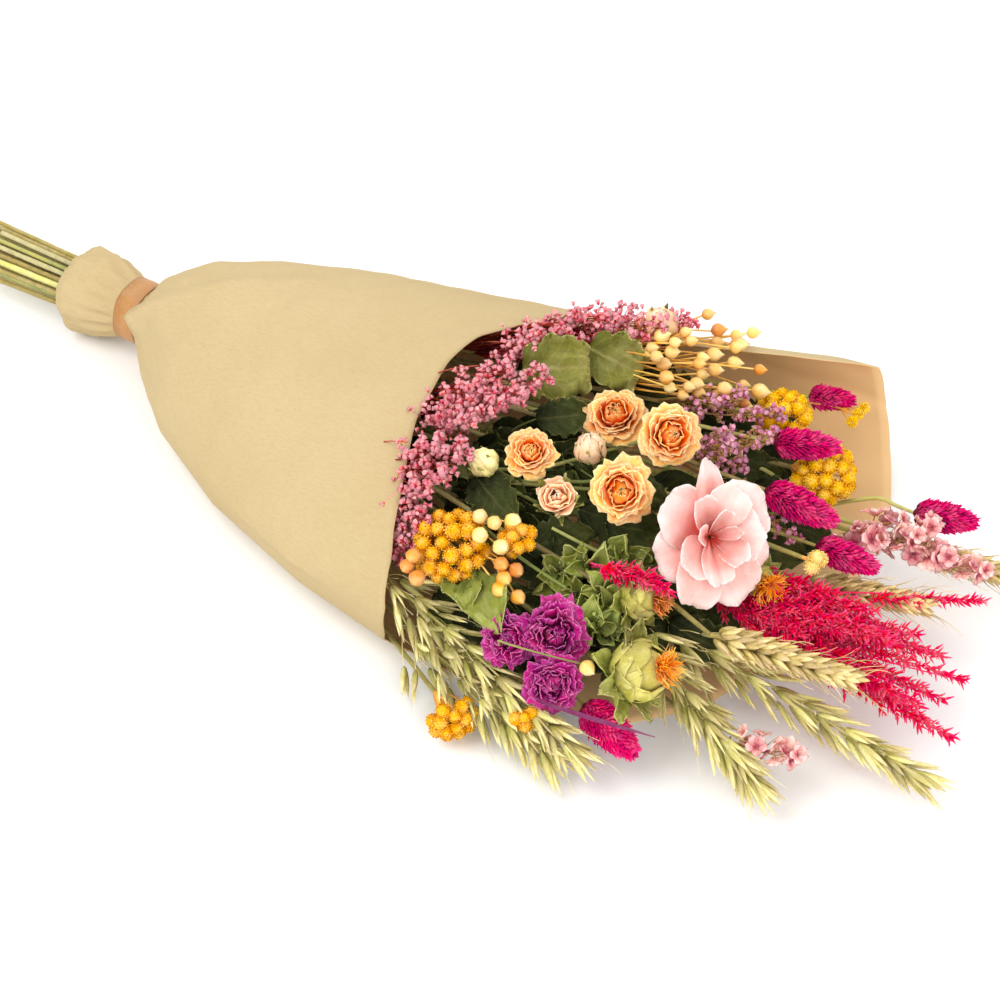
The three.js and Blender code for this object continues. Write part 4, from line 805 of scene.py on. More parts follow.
def rosePetals(heap, heart, at, axis, radius, height, form, seed):
    foot = Vector(at) - unitOf(axis) * height * footShare
    for k in range(form["petals"]):
        opened = (k + 0.6) / form["petals"]
        closed = max(0, 1 - opened / 0.34)
        heading = k * golden + seed + 0.5 * (draw(seed + k * 5) - 0.5)
        rim = radius * (0.2 + 0.7 * form["spread"] * opened) * (0.95 + 0.1 * draw(seed * 31 + k))
        top = height * (1.04 - 0.06 * closed - 0.4 * opened**1.7 * form["spread"])
        top *= 0.95 + 0.1 * draw(seed * 17 + k)
        halfTurn = form["innerTurn"] + (form["outerTurn"] - form["innerTurn"]) * opened

        def spot(v, u):
            ragged = form["uneven"] * grain(u * 2.6 + k * 3, seed, 2)
            ragged += 0.07 * grain(u * 8 + k * 3, seed, 7)
            t = max(0, v * (1 - 0.05 * u * u - 0.16 * abs(u) ** 7 + ragged * v))
            edge = max(0, (t - 0.68) / 0.32)
            r = radius * 0.07 + (rim - radius * 0.07) * t ** (0.5 + 0.3 * opened)
            r += radius * (0.08 * (1 - opened) * math.sin(math.pi * min(1, t)) + 0.13 * opened * edge**1.6)
            r *= 1 - 0.9 * min(1, closed * 1.3) * max(0, (t - 0.55) / 0.45) ** 1.4
            z = height * 0.04 + (top - height * 0.04) * t ** (0.9 + 0.2 * opened)
            z -= height * 0.2 * opened**1.4 * edge**2 * form["spread"]
            frill = form["frill"] * radius * edge
            r += frill * 2.2 * grain(u * 4 + k * 7, seed, 1)
            z += frill * 2.6 * grain(u * 6 + k * 7, seed, 5)
            r += form["crumple"] * radius * grain(u * 3 + k, v * 4, seed) * (0.3 + v)
            angle = heading + u * halfTurn * (0.74 + 0.26 * math.sin(math.pi / 2 * min(1, 0.2 + t)))
            place = Vector((r * math.cos(angle), r * math.sin(angle), z))
            # All petals are crumpled by one field, so they stay clear of each other
            pushed = noise.noise_vector(place * (2.2 / radius) + Vector((seed * 3.7, 0, 0)))
            return place + pushed * form["warp"] * radius * min(1, t * 1.5)

        grid = placed(gridOf(*form["grid"], spot), foot, axis)
        addSheet(heart if opened < heartShare else heap, grid, petalThickness, draw(seed * 7 + k), opened)
    return foot


def budPetals(heap, at, axis, radius, height, seed):
    foot = Vector(at) - unitOf(axis) * height * footShare
    for k in range(bud["petals"]):
        outer = k / (bud["petals"] - 1)
        heading = k * golden + seed

        def spot(v, u):
            t = min(1, v * (1 - 0.3 * abs(u) ** 2.4 + 0.12 * grain(u * 3 + k, seed, 1)))
            swell = math.sin(math.pi * (0.12 + 0.87 * t)) ** 0.75
            r = radius * (0.5 + 0.46 * outer) * swell + radius * bud["openness"] * outer**3 * max(0, t - 0.8)
            r += 0.17 * radius * grain(u * 2.4 + k, v * 3, seed) * (1 + v)
            r += 0.1 * radius * math.sin(8 * u + k) * t**4 * outer
            angle = heading + u * (1.4 - 0.4 * outer)
            return r * math.cos(angle), r * math.sin(angle), height * (0.98 - 0.12 * outer) * t

        addSheet(heap, placed(gridOf(*bud["grid"], spot), foot, axis), bud["thickness"], draw(seed + k), 0.5)
    return foot


def addCalyx(heap, foot, axis, radius, seed):
    for k in range(5):
        way = leaning(axis, 1.05 + 0.25 * draw(seed + k), k * 2 * math.pi / 5 + seed)
        addLeaf(heap, foot + unitOf(axis) * 1.5 + way * radius * 0.42, way, axis, radius * 0.95,
                lambda t: 0.16 * (1 - t) ** 0.7 + 0.01, seed + k, curl=-0.5)


roses = {  # the middle, direction and radius of each bloom, then its form, first seed and finishes
    "peach_rose": ([
        ((279, -42, 94), (0.2, -0.4, 0.88), 13.5), ((297, 9, 87), (0.1, -0.35, 0.9), 16.5),
        ((335, -6, 105), (0.5, -0.5, 0.7), 16.5), ((328, -40, 92), (0.35, -0.6, 0.7), 17),
    ], peachForm, 0, "rosePeach", "roseHeart", "oliveLeaf", "rose_petals"),
    "purple_rose": ([
        ((334, -109, 60), (0.4, -0.6, 0.7), 17.5), ((315, -119, 54), (0.1, -0.7, 0.7), 14.5),
        ((344, -127, 48), (0.45, -0.75, 0.5), 15),
    ], purpleForm, 10, "rosePurple", None, "darkLeafAndShade", "purple_petals"),
}
roseHeight = 1.1  # of its radius
for kind, (blooms, form, firstSeed, petalFinish, heartFinish, calyxFinish, slot) in roses.items():
    for number, (at, axis, radius) in enumerate(blooms, 1):
        petals, calyx = Heap(), Heap()
        heart = Heap() if heartFinish else petals
        foot = rosePetals(petals, heart, at, axis, radius, radius * roseHeight, form, firstSeed + number)
        addCalyx(calyx, foot, axis, radius, number)
        up = unitOf(axis)
        cup = [foot - up * 3.6, foot - up * 1.5, foot + up * radius * 0.25]
        finishPiece(f"{kind}_{number}", [
            petals.toMesh(petalFinish), heartFinish and heart.toMesh(heartFinish), calyx.toMesh(calyxFinish),
            tubes([(cup, [1.6, radius * 0.2, radius * 0.3])], "greenStem", 8, 3),
        ], slot)

peachBuds = [
    ((301, -23, 95), (-0.1, -0.1, 0.95), 8, 18, "budPink"), ((303, -57, 88), (0.1, -0.4, 0.8), 12.5, 18, "budPeach"),
    ((259, -56, 90), (-0.5, -0.5, 0.75), 7.5, 17, "budCream"), ((287, 73, 99), (0.2, -0.1, 0.9), 8.5, 17, "budPink"),
]
halfOpenBud = 2
for number, (at, axis, radius, height, finish) in enumerate(peachBuds, 1):
    petals, calyx = Heap(), Heap()
    if number == halfOpenBud:
        foot = rosePetals(petals, petals, at, axis, radius, height, halfOpenForm, 5)
    else:
        foot = budPetals(petals, at, axis, radius * 1.05, height, number * 3)
    addCalyx(calyx, foot, axis, radius * 1.2, number)
    for k in range(5):  # sepals that stand up against the bud
        way, out = (leaning(axis, lean, k * fifthTurn + number) for lean in (0.42, 1.57))
        addLeaf(calyx, foot + unitOf(axis) * 2 + way * radius * 0.75 + out * radius * 0.32, way, out, radius * 1.35,
                lambda t: 0.17 * (1 - t) ** 0.6 + 0.01, number + k, curl=0.2)
    finishPiece(f"peach_bud_{number}", [petals.toMesh(finish), calyx.toMesh("oliveLeaf")], "rose_petals")
print("roses and buds opened")

# The pith flower: broad ribbed petals in three rounds, the inner ones folded upright

pithFlower = {"at": (372, -32, 78), "axis": (0.5, -0.52, 0.7), "radius": 34, "grid": (12, 30), "narrow": 0.9,
              "thickness": 0.4}
# Petals from the outermost: where it points, its reach and rise, half width, how much it folds, how pointed it is
pithPetalList = [
    (96, 1.06, 0.34, 0.34, 0.25, 0.42), (38, 0.94, 0.3, 0.5, 0.1, 0), (-14, 0.86, 0.22, 0.44, 0.15, 0),
    (-62, 0.96, 0.3, 0.48, 0.1, 0), (-112, 1.0, 0.34, 0.42, 0.2, 0), (-158, 0.92, 0.22, 0.46, 0.1, 0),
    (150, 0.9, 0.34, 0.48, 0.15, 0), (70, 0.74, 0.6, 0.4, 0.4, 0), (4, 0.7, 0.54, 0.44, 0.35, 0),
    (-92, 0.64, 0.62, 0.36, 0.7, 0), (-140, 0.66, 0.6, 0.4, 0.5, 0), (122, 0.6, 0.72, 0.34, 0.8, 0),
    (84, 0.36, 0.88, 0.3, 1.3, 0), (-40, 0.46, 0.74, 0.38, 1.0, 0), (172, 0.36, 0.84, 0.32, 1.2, 0),
    (20, 0.24, 0.9, 0.26, 1.4, 0),
]
pithPetals, radius, axis = Heap(), pithFlower["radius"], unitOf(pithFlower["axis"])
# Its own turn is set so that a petal at 90 degrees points up in the view
up = (aboveEye - axis * aboveEye.dot(axis)).normalized()
basis = np.array([up.cross(axis), up, axis])
for number, (heading, reach, rise, wide, fold, point) in enumerate(pithPetalList):
    def pithSpot(t, u):
        half = radius * wide * (0.1 + 0.9 * math.sin(math.pi / 2 * min(1, 1.35 * t)) ** 1.2)
        half *= 1 - (0.04 + 0.6 * point) * t**4
        notch = 0.03 * math.sin(5 * u + number) + 0.008 * math.sin(17 * u + 2 * number)
        s = t * (1 - (0.26 + 0.35 * point) * abs(u) ** 2.8 + notch * t)
        z = radius * rise * s ** (0.9 + 0.5 * fold) + radius * 0.1 * math.sin(math.pi * s)
        z += fold * half * abs(u) ** 1.7 * 0.7
        z += 0.06 * radius * math.sin(4 * u + number) * s**2 + 0.01 * radius * math.sin(40 * u) * s
        z += 0.08 * radius * grain(u * 1.5, s * 2, number)
        z -= 0.5 * radius * max(0, s - 0.72) ** 2 * (1 - fold)
        return radius * reach * s + 1.0, half * u * (1 - 0.45 * fold), z

    turned = np.array(Matrix.Rotation(math.radians(heading), 3, "Z"))
    grid = gridOf(*pithFlower["grid"], pithSpot) @ turned.T
    grid[..., 0] *= pithFlower["narrow"]
    addSheet(pithPetals, grid @ basis + np.array(pithFlower["at"]), pithFlower["thickness"], draw(number), 0.5)
finishPiece("sola_flower", [pithPetals.toMesh("pith")], "pith")
print("pith flower cut")

# Small shapes that repeat


# A round or flattened shape that is pointed at both ends
def boat(name, width, depth, rows, sides, belly, bend=0.0):
    rings = []
    for t in [(i + 0.6) / rows for i in range(rows)]:
        swell = 0.5 * math.sin(math.pi * t**belly) ** 0.8
        rings.append([(width * swell * math.cos(a), depth * swell * math.sin(a) + bend * t * t, t)
                      for a in turnsOf(sides)])
    heap = Heap()
    addRings(heap, np.array(rings), (0, 0, 0), (0, bend, 1))
    return smallShape(name, heap)


def bell(name, sides=6):
    rings = []
    for radius, z in ((0.22, 0.05), (0.36, 0.5), (0.5, 0.92)):
        flares = [radius * (1 + 0.3 * (k % 2) * (z > 0.8)) for k in range(sides)]
        rings.append([(r * math.cos(a), r * math.sin(a), z) for r, a in zip(flares, turnsOf(sides))])
    heap = Heap()
    addRings(heap, np.array(rings), (0, 0, -0.1), (0, 0, 0.5))
    return smallShape(name, heap)


# Crumpled papery petals round a point
def paperyFloret(name, petals=5):
    heap = Heap()
    for k in range(petals):
        def spot(t, u):
            half = 0.42 * math.sin(math.pi * (0.12 + 0.72 * t)) ** 0.8
            z = 0.5 * t - 0.25 * t * t + 0.16 * u * u + 0.22 * (draw(round(9 * (k + t) + u + 1)) - 0.5)
            return 0.05 + 0.85 * t, half * u, z

        spun = np.array(Matrix.Rotation(2 * math.pi * (k + 0.3 * draw(k)) / petals, 3, "Z"))
        addSheet(heap, gridOf(3, 2, spot) @ spun.T, 0.06)
    return smallShape(name, heap)


dotShape = boat("dotShape", 1.0, 1.0, 2, 4, 0.9)
scaleShape = boat("scaleShape", 0.36, 0.15, 3, 4, 0.6, -0.08)
glumeShape = boat("glumeShape", 0.25, 0.15, 6, 5, 0.66, -0.07)
bristleShape = boat("bristleShape", 0.3, 0.26, 2, 3, 0.7, -0.1)
bellShape = bell("bellShape")
paperyShape = paperyFloret("paperyShape")

# Where each plant's head, spike or spray begins

heads = {
    "sola_stem": (350, -12, 50), "flax_1": (258, 56, 68), "flax_2": (258, -70, 54), "flax_3": (300, -96, 52),
    "broom_1": (212, -66, 56), "broom_2": (212, -22, 68), "broom_3": (212, 36, 66), "oats_1": (250, -114, 46),
    "oats_2": (262, -120, 24), "oats_3": (380, -84, 38), "oats_4": (404, -62, 34), "wheat_1": (398, -78, 68),
    "wheat_2": (412, -4, 34), "wheat_3": (436, 58, 28), "plume_1": (384, -38, 46), "plume_2": (322, -56, 54),
    "leafy_sprig": (318, -72, 46), "statice_1": (304, 56, 62), "statice_2": (334, 26, 62),
    "larkspur_1": (404, 40, 32), "larkspur_2": (424, 46, 44), "larkspur_3": (408, -92, 20),
    "peach_spray_1": (226, -44, 56), "peach_spray_2": (256, 0, 52), "peach_spray_3": (256, -34, 54),
    "peach_spray_4": (244, 76, 56), "purple_spray": (284, -98, 37),
}

# Golden heads: round heads on short stalks, each set closely with florets

goldenDomes = [  # middle, direction, spread, number of heads, their radius and finish
    ((266, -93, 66), (0.2, -0.6, 0.8), 18.5, 30, 3.9, "goldFloret"),
    ((295, -80, 76), (0.3, -0.6, 0.75), 9, 9, 3.4, "goldFloret"),
    ((300, -146, 16), (0.85, -0.5, -0.15), 12.5, 17, 3.6, "goldFloret"),
    ((337, -141, 34), (0.7, -0.6, 0.3), 6.5, 5, 3.3, "goldFloret"),
    ((358, 76, 64), (0.35, -0.5, 0.8), 14.5, 20, 3.8, "yellowFloret"),
    ((391, 57, 56), (0.5, -0.4, 0.75), 16.5, 24, 3.8, "yellowFloret"),
    ((418, -11, 68), (0.7, -0.3, 0.5), 6, 3, 3.8, "paleFloret"),
]
goldenHead = {"florets": 62, "floretSize": 1.15, "core": 0.92, "bare": -0.75}
# One dome has a thin branch with three paler heads
branch = {"dome": 5, "heads": [atPixel(858, 414, 62), atPixel(852, 422, 62), atPixel(864, 408, 62)], "florets": 90}

for number, (at, axis, domeSpread, count, radius, finish) in enumerate(goldenDomes, 1):
    node = f"golden_buttons_{number}"
    at, axis = Vector(at), unitOf(axis)
    head = at - axis * 0.4 * domeSpread
    fork = pointOn(stemLine(node, head), head.x - 0.9 * domeSpread)
    cores, florets, stalks = Heap(), Spots(), []
    for i in range(count):
        out = leaning(axis, math.acos(1 - 1.2 * (i + 0.4) / count), i * golden + number * 50)
        flat = out - axis * 0.3 * out.dot(axis)
        size = radius * (0.85 + 0.3 * draw(number * 50 + i))
        middle = at + flat * (domeSpread - radius * 0.7) * (0.94 + 0.12 * draw(i + number))
        stalks.append((bent(fork, middle - out * size * 0.6, 0.1, i), [0.9, 0.5, 0.55]))
        core = goldenHead["core"] * size
        profile = [(core * math.sin(p), -core * math.cos(p)) for p in np.linspace(0.4, 2.74, 6)]
        addRound(cores, profile, (-core, core), 10, middle, out)
        for k in range(goldenHead["florets"]):
            height = 1 - 2 * (k + 0.5) / goldenHead["florets"]
            if height < goldenHead["bare"]:
                continue
            way = leaning(out, math.acos(height), k * golden + i)
            wide = goldenHead["floretSize"] * size / 3.6
            florets.add(middle + way * size * 0.86, way, (wide, wide, 0.75 * wide), 0, draw(k + i * 9),
                        0.5 + 0.5 * (draw(i) - 0.5))
    if number == branch["dome"]:
        twig = bent(fork, branch["heads"][0], 0.16, 3, 6)
        stalks.append((twig, [0.8, 0.6, 0.5]))
        for i, middle in enumerate(branch["heads"]):
            stalks.append((bent(twig[-2], middle, 0.1, i, 3), [0.5, 0.45]))
            for k in range(branch["florets"]):
                way = leaning((0, 0, 1), math.acos(1 - 2 * (k + 0.5) / branch["florets"]), k * golden)
                florets.add(middle + way * 1.9, way, 1.3, 0, draw(k + i * 9), 1.2)
    finishPiece(node, [stemTube(node, head), tubes(stalks, "goldStalk", 5, 2), cores.toMesh(finish),
                       florets.grow(dotShape, finish, 0.2)], "golden_heads")
print("golden heads set")

# Canary grass: an ear of pointed scales, laid over each other from the foot up

ears = [  # foot, direction, length, radius and finish
    ((360, 103, 60), (0.98, 0.02, 0.14), 25, 6.2, "magentaScale"),
    ((368, 44, 80), (0.85, 0.35, -0.15), 34, 8.5, "magentaScale"),
    ((381, 12, 81), (0.95, 0.02, -0.3), 40, 9.5, "magentaScale"),
    ((414, 4, 58), (0.95, 0.08, -0.25), 33, 8, "magentaScale"),
    ((439, 62, 53), (0.92, 0.28, -0.18), 33, 9, "magentaScale"),
    ((356, -115, 31), (0.9, -0.38, -0.22), 37, 11.5, "hotPinkScale"),
]
canaryEar = {"scalesPerLength": 13, "scale": 4.7, "raised": 9, "shifted": {4: 6}, "bladed": 6}


# A thin purple blade that lies across an ear
def thinBlade(node, foot):
    path = [pointOn(stemLine(node, foot), 300)]
    path += bent(atPixel(540, 702, 46), atPixel(655, 737, 38), 0.04, 2, 12)
    grid = []
    for i, place in enumerate(path):
        half = 1.2 * math.sin(math.pi * (0.06 + 0.92 * i / (len(path) - 1)))
        grid.append([place + aboveEye * half * u + towardsEye * 0.5 * u * u for u in (-1, 0, 1)])
    blade = Heap()
    addSheet(blade, np.array(grid), 0.25)
    return blade.toMesh("blade")


for number, (foot, axis, length, radius, finish) in enumerate(ears, 1):
    node = f"phalaris_{number}"
    axis = unitOf(axis)
    middle = Vector(foot) + axis * length / 2 + aboveEye * canaryEar["shifted"].get(number, 0)
    axis.rotate(Quaternion(towardsEye, math.radians(canaryEar["raised"])))
    foot = middle - axis * length / 2
    core, scales = Heap(), Spots()

    def earRadius(t):
        return 0.93 * radius * math.sin(math.pi * min(0.96, max(0.02, t) ** 0.75)) ** 0.5

    profile = [(0.72 * earRadius(t), t * length * 0.92) for t in np.linspace(0.04, 0.94, 9)]
    addRound(core, profile, (-1, length * 0.92), 10, foot, axis, 0.2, 0.1)
    count = int(canaryEar["scalesPerLength"] * length)
    for i in range(count):
        t = (i + 0.5) / count
        way = leaning(axis, quarterTurn, i * golden)
        at = foot + axis * length * (0.02 + 0.86 * t) + way * earRadius(t) * 0.62
        aim = axis * (0.75 + 0.6 * t) + way * (1.15 - 0.7 * t)
        aim = aim + leaning(axis, quarterTurn, i * golden + 2) * 0.5 * (draw(i + 8) - 0.5)
        long = canaryEar["scale"] * (1.1 - 0.25 * t) * (0.85 + 0.3 * draw(i))
        scales.add(at, aim, (long * 1.3, long * 1.5, long), draw(i) * fullTurn, draw(i + 3), t)
    finishPiece(node, [stemTube(node, foot, 1.1, 0.8), core.toMesh(finish), scales.grow(scaleShape, finish, 0.15),
                       number == canaryEar["bladed"] and thinBlade(node, foot)], "magenta_ears")
print("canary grass grown")

# Safflower: a globe of overlapping bracts, leafy bracts round it and a tuft of orange threads

thistles = [  # foot, direction, radius, length of the tuft and its finish
    ((366, -108, 50), (0.75, 0.1, 0.5), 13.5, 9.5, "orangeThread"),
    ((392, -24, 54), (0.6, -0.35, 0.35), 7.5, 9, "orangeThread"),
    ((350, -76, 64), (0.75, 0.1, 0.25), 9.5, 7.5, "brownThread"),
]
safflower = {"bracts": 15, "grid": (10, 10), "thickness": 0.4, "leaves": 9, "threads": 120}

for number, (foot, axis, radius, tuft, threadFinish) in enumerate(thistles, 1):
    node = f"safflower_{number}"
    foot, axis, height = Vector(foot), unitOf(axis), radius * 1.9
    core, bracts, leaves = Heap(), Heap(), Heap()

    def globeRadius(t):
        return radius * math.sin(math.pi * (0.08 + 0.8 * min(1, max(0, t)))) ** 0.6

    profile = [(0.88 * globeRadius(t), t * height * 0.97) for t in np.linspace(0, 1, 7)]
    addRound(core, profile, (-1, height * 0.96), 12, foot, axis, 0.4, 0.4)
    for k in range(safflower["bracts"]):
        share = k / safflower["bracts"]

        def bractSpot(t, u):
            up = 0.34 * (1 - share) + (0.62 + 0.1 * draw(k + number)) * t
            half = 0.85 * radius * math.sin(math.pi * (0.2 + 0.8 * t)) ** 0.8 + 0.15
            r = globeRadius(up) * (0.95 + 0.07 * share) + 0.05 * radius * t * t * (2 - abs(u))
            r += 0.12 * radius * grain(u * 2 + k, t * 3, number) + 0.05 * radius * abs(u) ** 2
            angle = k * golden + number + u * half / max(r, 1)
            return r * math.cos(angle), r * math.sin(angle), up * height

        grid = placed(gridOf(*safflower["grid"], bractSpot), foot, axis)
        addSheet(bracts, grid, safflower["thickness"], draw(k), share)
    for k in range(safflower["leaves"]):
        way = leaning(axis, 0.95 + 0.5 * draw(k + number), k * 2 * math.pi / safflower["leaves"] + number)
        middle = foot + axis * height * 0.12 + way * radius * 1.15
        addLeaf(leaves, middle, way, axis, radius * (1.5 + 0.5 * draw(k)), lambda t: ovate(t) * 0.9, k + number,
                curl=0.3 if k % 2 else -0.2, wave=0.12)
    finishPiece(node, [stemTube(node, foot), core.toMesh("bract"), bracts.toMesh("bract"),
                       leaves.toMesh("oliveLeaf")], "bracts")
    seat = foot + axis * (height + 0.1)
    threads = []
    for k in range(safflower["threads"]):
        way = leaning(axis, 0.15 + 0.95 * math.sqrt(draw(k + 40)), k * golden)
        start = seat + leaning(axis, quarterTurn, k * golden) * tuft * 0.2 * draw(k + 2)
        end = start + way * tuft * (0.75 + 0.5 * draw(k + 9))
        threads.append((bent(start, end, 0.16, k, 3), [0.3, 0.34, 0.16]))
    finishPiece(f"safflower_tuft_{number}", [tubes(threads, threadFinish, 3, 2)], "orange_tufts")
print("safflowers grown")

# Crimson plumes: spines with short side twigs, each set with bristling florets

plumes = {  # tip, length of its feathered part, length of its twigs
    "plume_1": [((504, -22, 45), 96, 6), ((492, 28, 47), 56, 3), ((510, -46, 32), 84, 10),
                ((474, -12, 50), 80, 12), ((466, -30, 60), 80, 14), ((488, -14, 46), 80, 12),
                ((490, -46, 44), 80, 13), ((452, -16, 58), 66, 14), ((468, -46, 42), 66, 14),
                ((468, -26, 54), 70, 14), ((446, -36, 58), 60, 14), ((430, -16, 58), 50, 13),
                ((498, -32, 38), 80, 10), ((428, -44, 54), 52, 13)],
    "plume_2": [(atPixel(668, 590, 80), 40, 7), (atPixel(658, 578, 80), 34, 6)],
}
lyingPlume = atPixel(600, 566, 78)  # where the small plume begins
plume = {"twigEvery": 1.6, "floretEvery": 1.25, "floret": 4.4}


def plumeSprig(tip, start, length, twigLength, spots, lines, seed):
    lines.append((bent(start, tip, 0.03, seed, 7), [0.9, 0.6, 0.35]))
    total = (Vector(tip) - start).length
    length, axis = min(length, total), unitOf(Vector(tip) - start)
    count = int(length / plume["twigEvery"])
    for i in range(count):
        share = i / count
        at = start + axis * (total - length + length * share)
        way = leaning(axis, 0.75 - 0.35 * share + 0.3 * (draw(seed + i) - 0.5), i * golden + seed)
        long = twigLength * (0.35 + 0.65 * math.sin(math.pi * min(1, 0.25 + 0.75 * share)))
        long *= (0.8 + 0.4 * draw(i + seed)) * (1 - 0.4 * share)
        end = at + way * long + axis * long * 0.25
        lines.append(([at, end], [0.35, 0.2]))
        steps = max(2, int(long / plume["floretEvery"]))
        for k in range(steps):
            spot = at.lerp(end, (k + 0.6) / steps)
            for twin in range(2):
                aim = leaning(way + axis * 0.4, 0.5 + 0.35 * draw(i + k + twin), (2 * k + twin) * golden + i)
                size = plume["floret"] * (0.7 + 0.6 * draw(i * 3 + k + twin))
                spots.add(spot, aim, size, 0, draw(i + k * 5), share)


for name, tips in plumes.items():
    line = stemLine(name, heads[name])
    spots, twigs = Spots(), []
    for k, (tip, length, twigLength) in enumerate(tips):
        start = pointOn(line, heads[name][0] - 2 - 2.6 * k)
        if name == "plume_2":
            twigs.append((bent(start, lyingPlume, 0.05, k, 4), [0.8, 0.6]))
            start = lyingPlume
        plumeSprig(tip, start, length, twigLength, spots, twigs, k * 13)
    finishPiece(name, [stemTube(name, heads[name]), tubes(twigs, "crimson", 3, 2),
                       spots.grow(bristleShape, "crimson", 0.25)], "crimson_plume")
print("plumes grown")

# Oats: open spikelets that hang on hair-thin stalks round an arching stem

oatAxes = {  # direction, length, where its first spikelet is and how wide it fans
    "oats_1": ((0.96, -0.24, -0.14), 116, -0.18, 1.25), "oats_2": ((0.97, -0.26, -0.03), 90, -0.16, 1.7),
    "oats_3": ((0.9, -0.4, -0.2), 66, -0.55, 1.25), "oats_4": ((0.97, -0.05, -0.1), 100, -0.4, 1.2),
}
oat = {"spikelets": 46, "length": 18.5, "wide": 0.82, "gape": 0.2, "stalk": 10}

for name, (axis, length, begin, fan) in oatAxes.items():
    axis, head = unitOf(axis), Vector(heads[name])
    glumes, lines = Spots(), [(bent(head, head + axis * length * 0.95, 0.02, 3), [1, 0.7, 0.35])]
    for i in range(oat["spikelets"]):
        share = (i + 0.3) / oat["spikelets"]
        turned = i * golden + length
        root = head + axis * length * (begin + (1 - begin) * share)
        way = leaning(axis, fan * (0.36 * (1 - 0.5 * share) + 0.14 * draw(i)), turned)
        way = (way + Vector((0, 0, -0.2 * draw(i + 7)))).normalized()
        foot = root + way * oat["stalk"] * fan * (1.15 - share)
        foot.z = max(foot.z, 3)  # above the surface, as are the tips below
        long = oat["length"] * (0.8 + 0.35 * draw(i + 4))
        way.z += max(0, 2.5 - foot.z - way.z * long * 1.6) / (long * 1.6)
        lines.append((bent(root, foot, 0.15, i, 3), [0.35, 0.25, 0.3]))
        for side in (-1, 1):
            aim = leaning(way, oat["gape"] * (0.6 + 0.8 * draw(i + side)), turned + side * quarterTurn)
            aim.z = max(aim.z, (1 - foot.z) / long)
            glumes.add(foot, aim, (long * oat["wide"], long * oat["wide"], long), turned, draw(i * 2 + side), draw(i))
        glumes.add(foot + way * 1.5, way, (long * 0.6, long * 0.6, long * 1.1), turned + 1, draw(i + 50), share)
        if i % 2:
            bristle = bent(foot + way * long * 0.5, foot + way * long * 1.55, 0.08, i, 3)
            lines.append((bristle, [0.16, 0.13, 0.1]))
    finishPiece(name, [stemTube(name, head), tubes(lines, "oatHusk", 4, 2),
                       glumes.grow(glumeShape, "oatHusk", 0.1)], "pale_grass")
print("oats grown")

# Wheat: plump spikelets laid over each other in four rows, with short curly awns

wheatAxes = {  # direction, length and how far it is shifted up in the picture
    "wheat_1": ((0.91, 0.33, -0.22), 76, 0), "wheat_2": ((0.93, 0.22, 0.06), 66, 7),
    "wheat_3": ((0.95, 0.16, 0), 66, 0),
}
wheat = {"spikelets": 76, "length": 10.5, "wide": 17, "lift": 0.5, "awn": 11}

for name, (axis, length, shifted) in wheatAxes.items():
    axis, head = unitOf(axis), Vector(heads[name]) + aboveEye * shifted
    husks, lines = Spots(), [([head + axis * length * share for share in (0, 0.5, 0.95)], [1.2, 1.5, 0.6])]
    for i in range(wheat["spikelets"]):
        share = (i + 0.5) / wheat["spikelets"]
        turned = (i % 4) * quarterTurn + 0.4 * (i // 4 % 2) + 0.25 * draw(i)
        way = leaning(axis, quarterTurn, turned)
        root = head + axis * length * (0.02 + 0.86 * share) + way * 2.2 * (1 - 0.4 * share)
        aim = axis + way * wheat["lift"] * (1.1 - 0.5 * share)
        for twin in (-0.35, 0.35):
            tilt = leaning(aim, 0.16, turned + twin * 4)
            husks.add(root, tilt, (wheat["wide"], wheat["wide"], wheat["length"]), turned, draw(i + twin), share)
        if i % 2 == 0:
            tip = root + (axis * 1.6 + way * 0.9).normalized() * wheat["awn"] * (1 + 0.8 * draw(i) + 0.5 * share)
            lines.append((bent(root + unitOf(aim) * 9, tip + axis * 5, 0.14, i, 4), [0.3, 0.22, 0.12]))
    finishPiece(name, [stemTube(name, head), tubes(lines, "wheatHusk", 4, 2),
                       husks.grow(glumeShape, "wheatHusk", 0.12)], "pale_grass")
print("wheat grown")

# Flax: round pods with five seams and a pointed tip, each on its own fine stalk

podPlaces = {
    "flax_1": [(284, 76, 92), (292, 64, 96), (301, 50, 92), (307, 42, 92), (300, 60, 92), (320, 50, 88),
               (322, 66, 86), (332, 58, 84), (316, 76, 86), (326, 80, 82), (308, 96, 84), (320, 96, 80),
               (346, 70, 80)],
    "flax_2": [(276, -83, 84), (284, -83, 84), (290, -76, 82), (281, -91, 81), (292, -90, 78), (296, -96, 74),
               (303, -94, 72), (300, -104, 66), (309, -102, 64), (300, -100, 70), atPixel(407, 566, 68),
               atPixel(417, 578, 66), atPixel(413, 556, 72)],
    "flax_3": [(358, -121, 62)],
}
flax = {"radius": 4.0, "seams": 0.07, "extra": {"flax_1": 2}, "rustBelow": {"flax_2": 78}}
longStalk = [atPixel(506, 652, 36), atPixel(498, 641, 62)]  # from inside a purple rose and over its petals

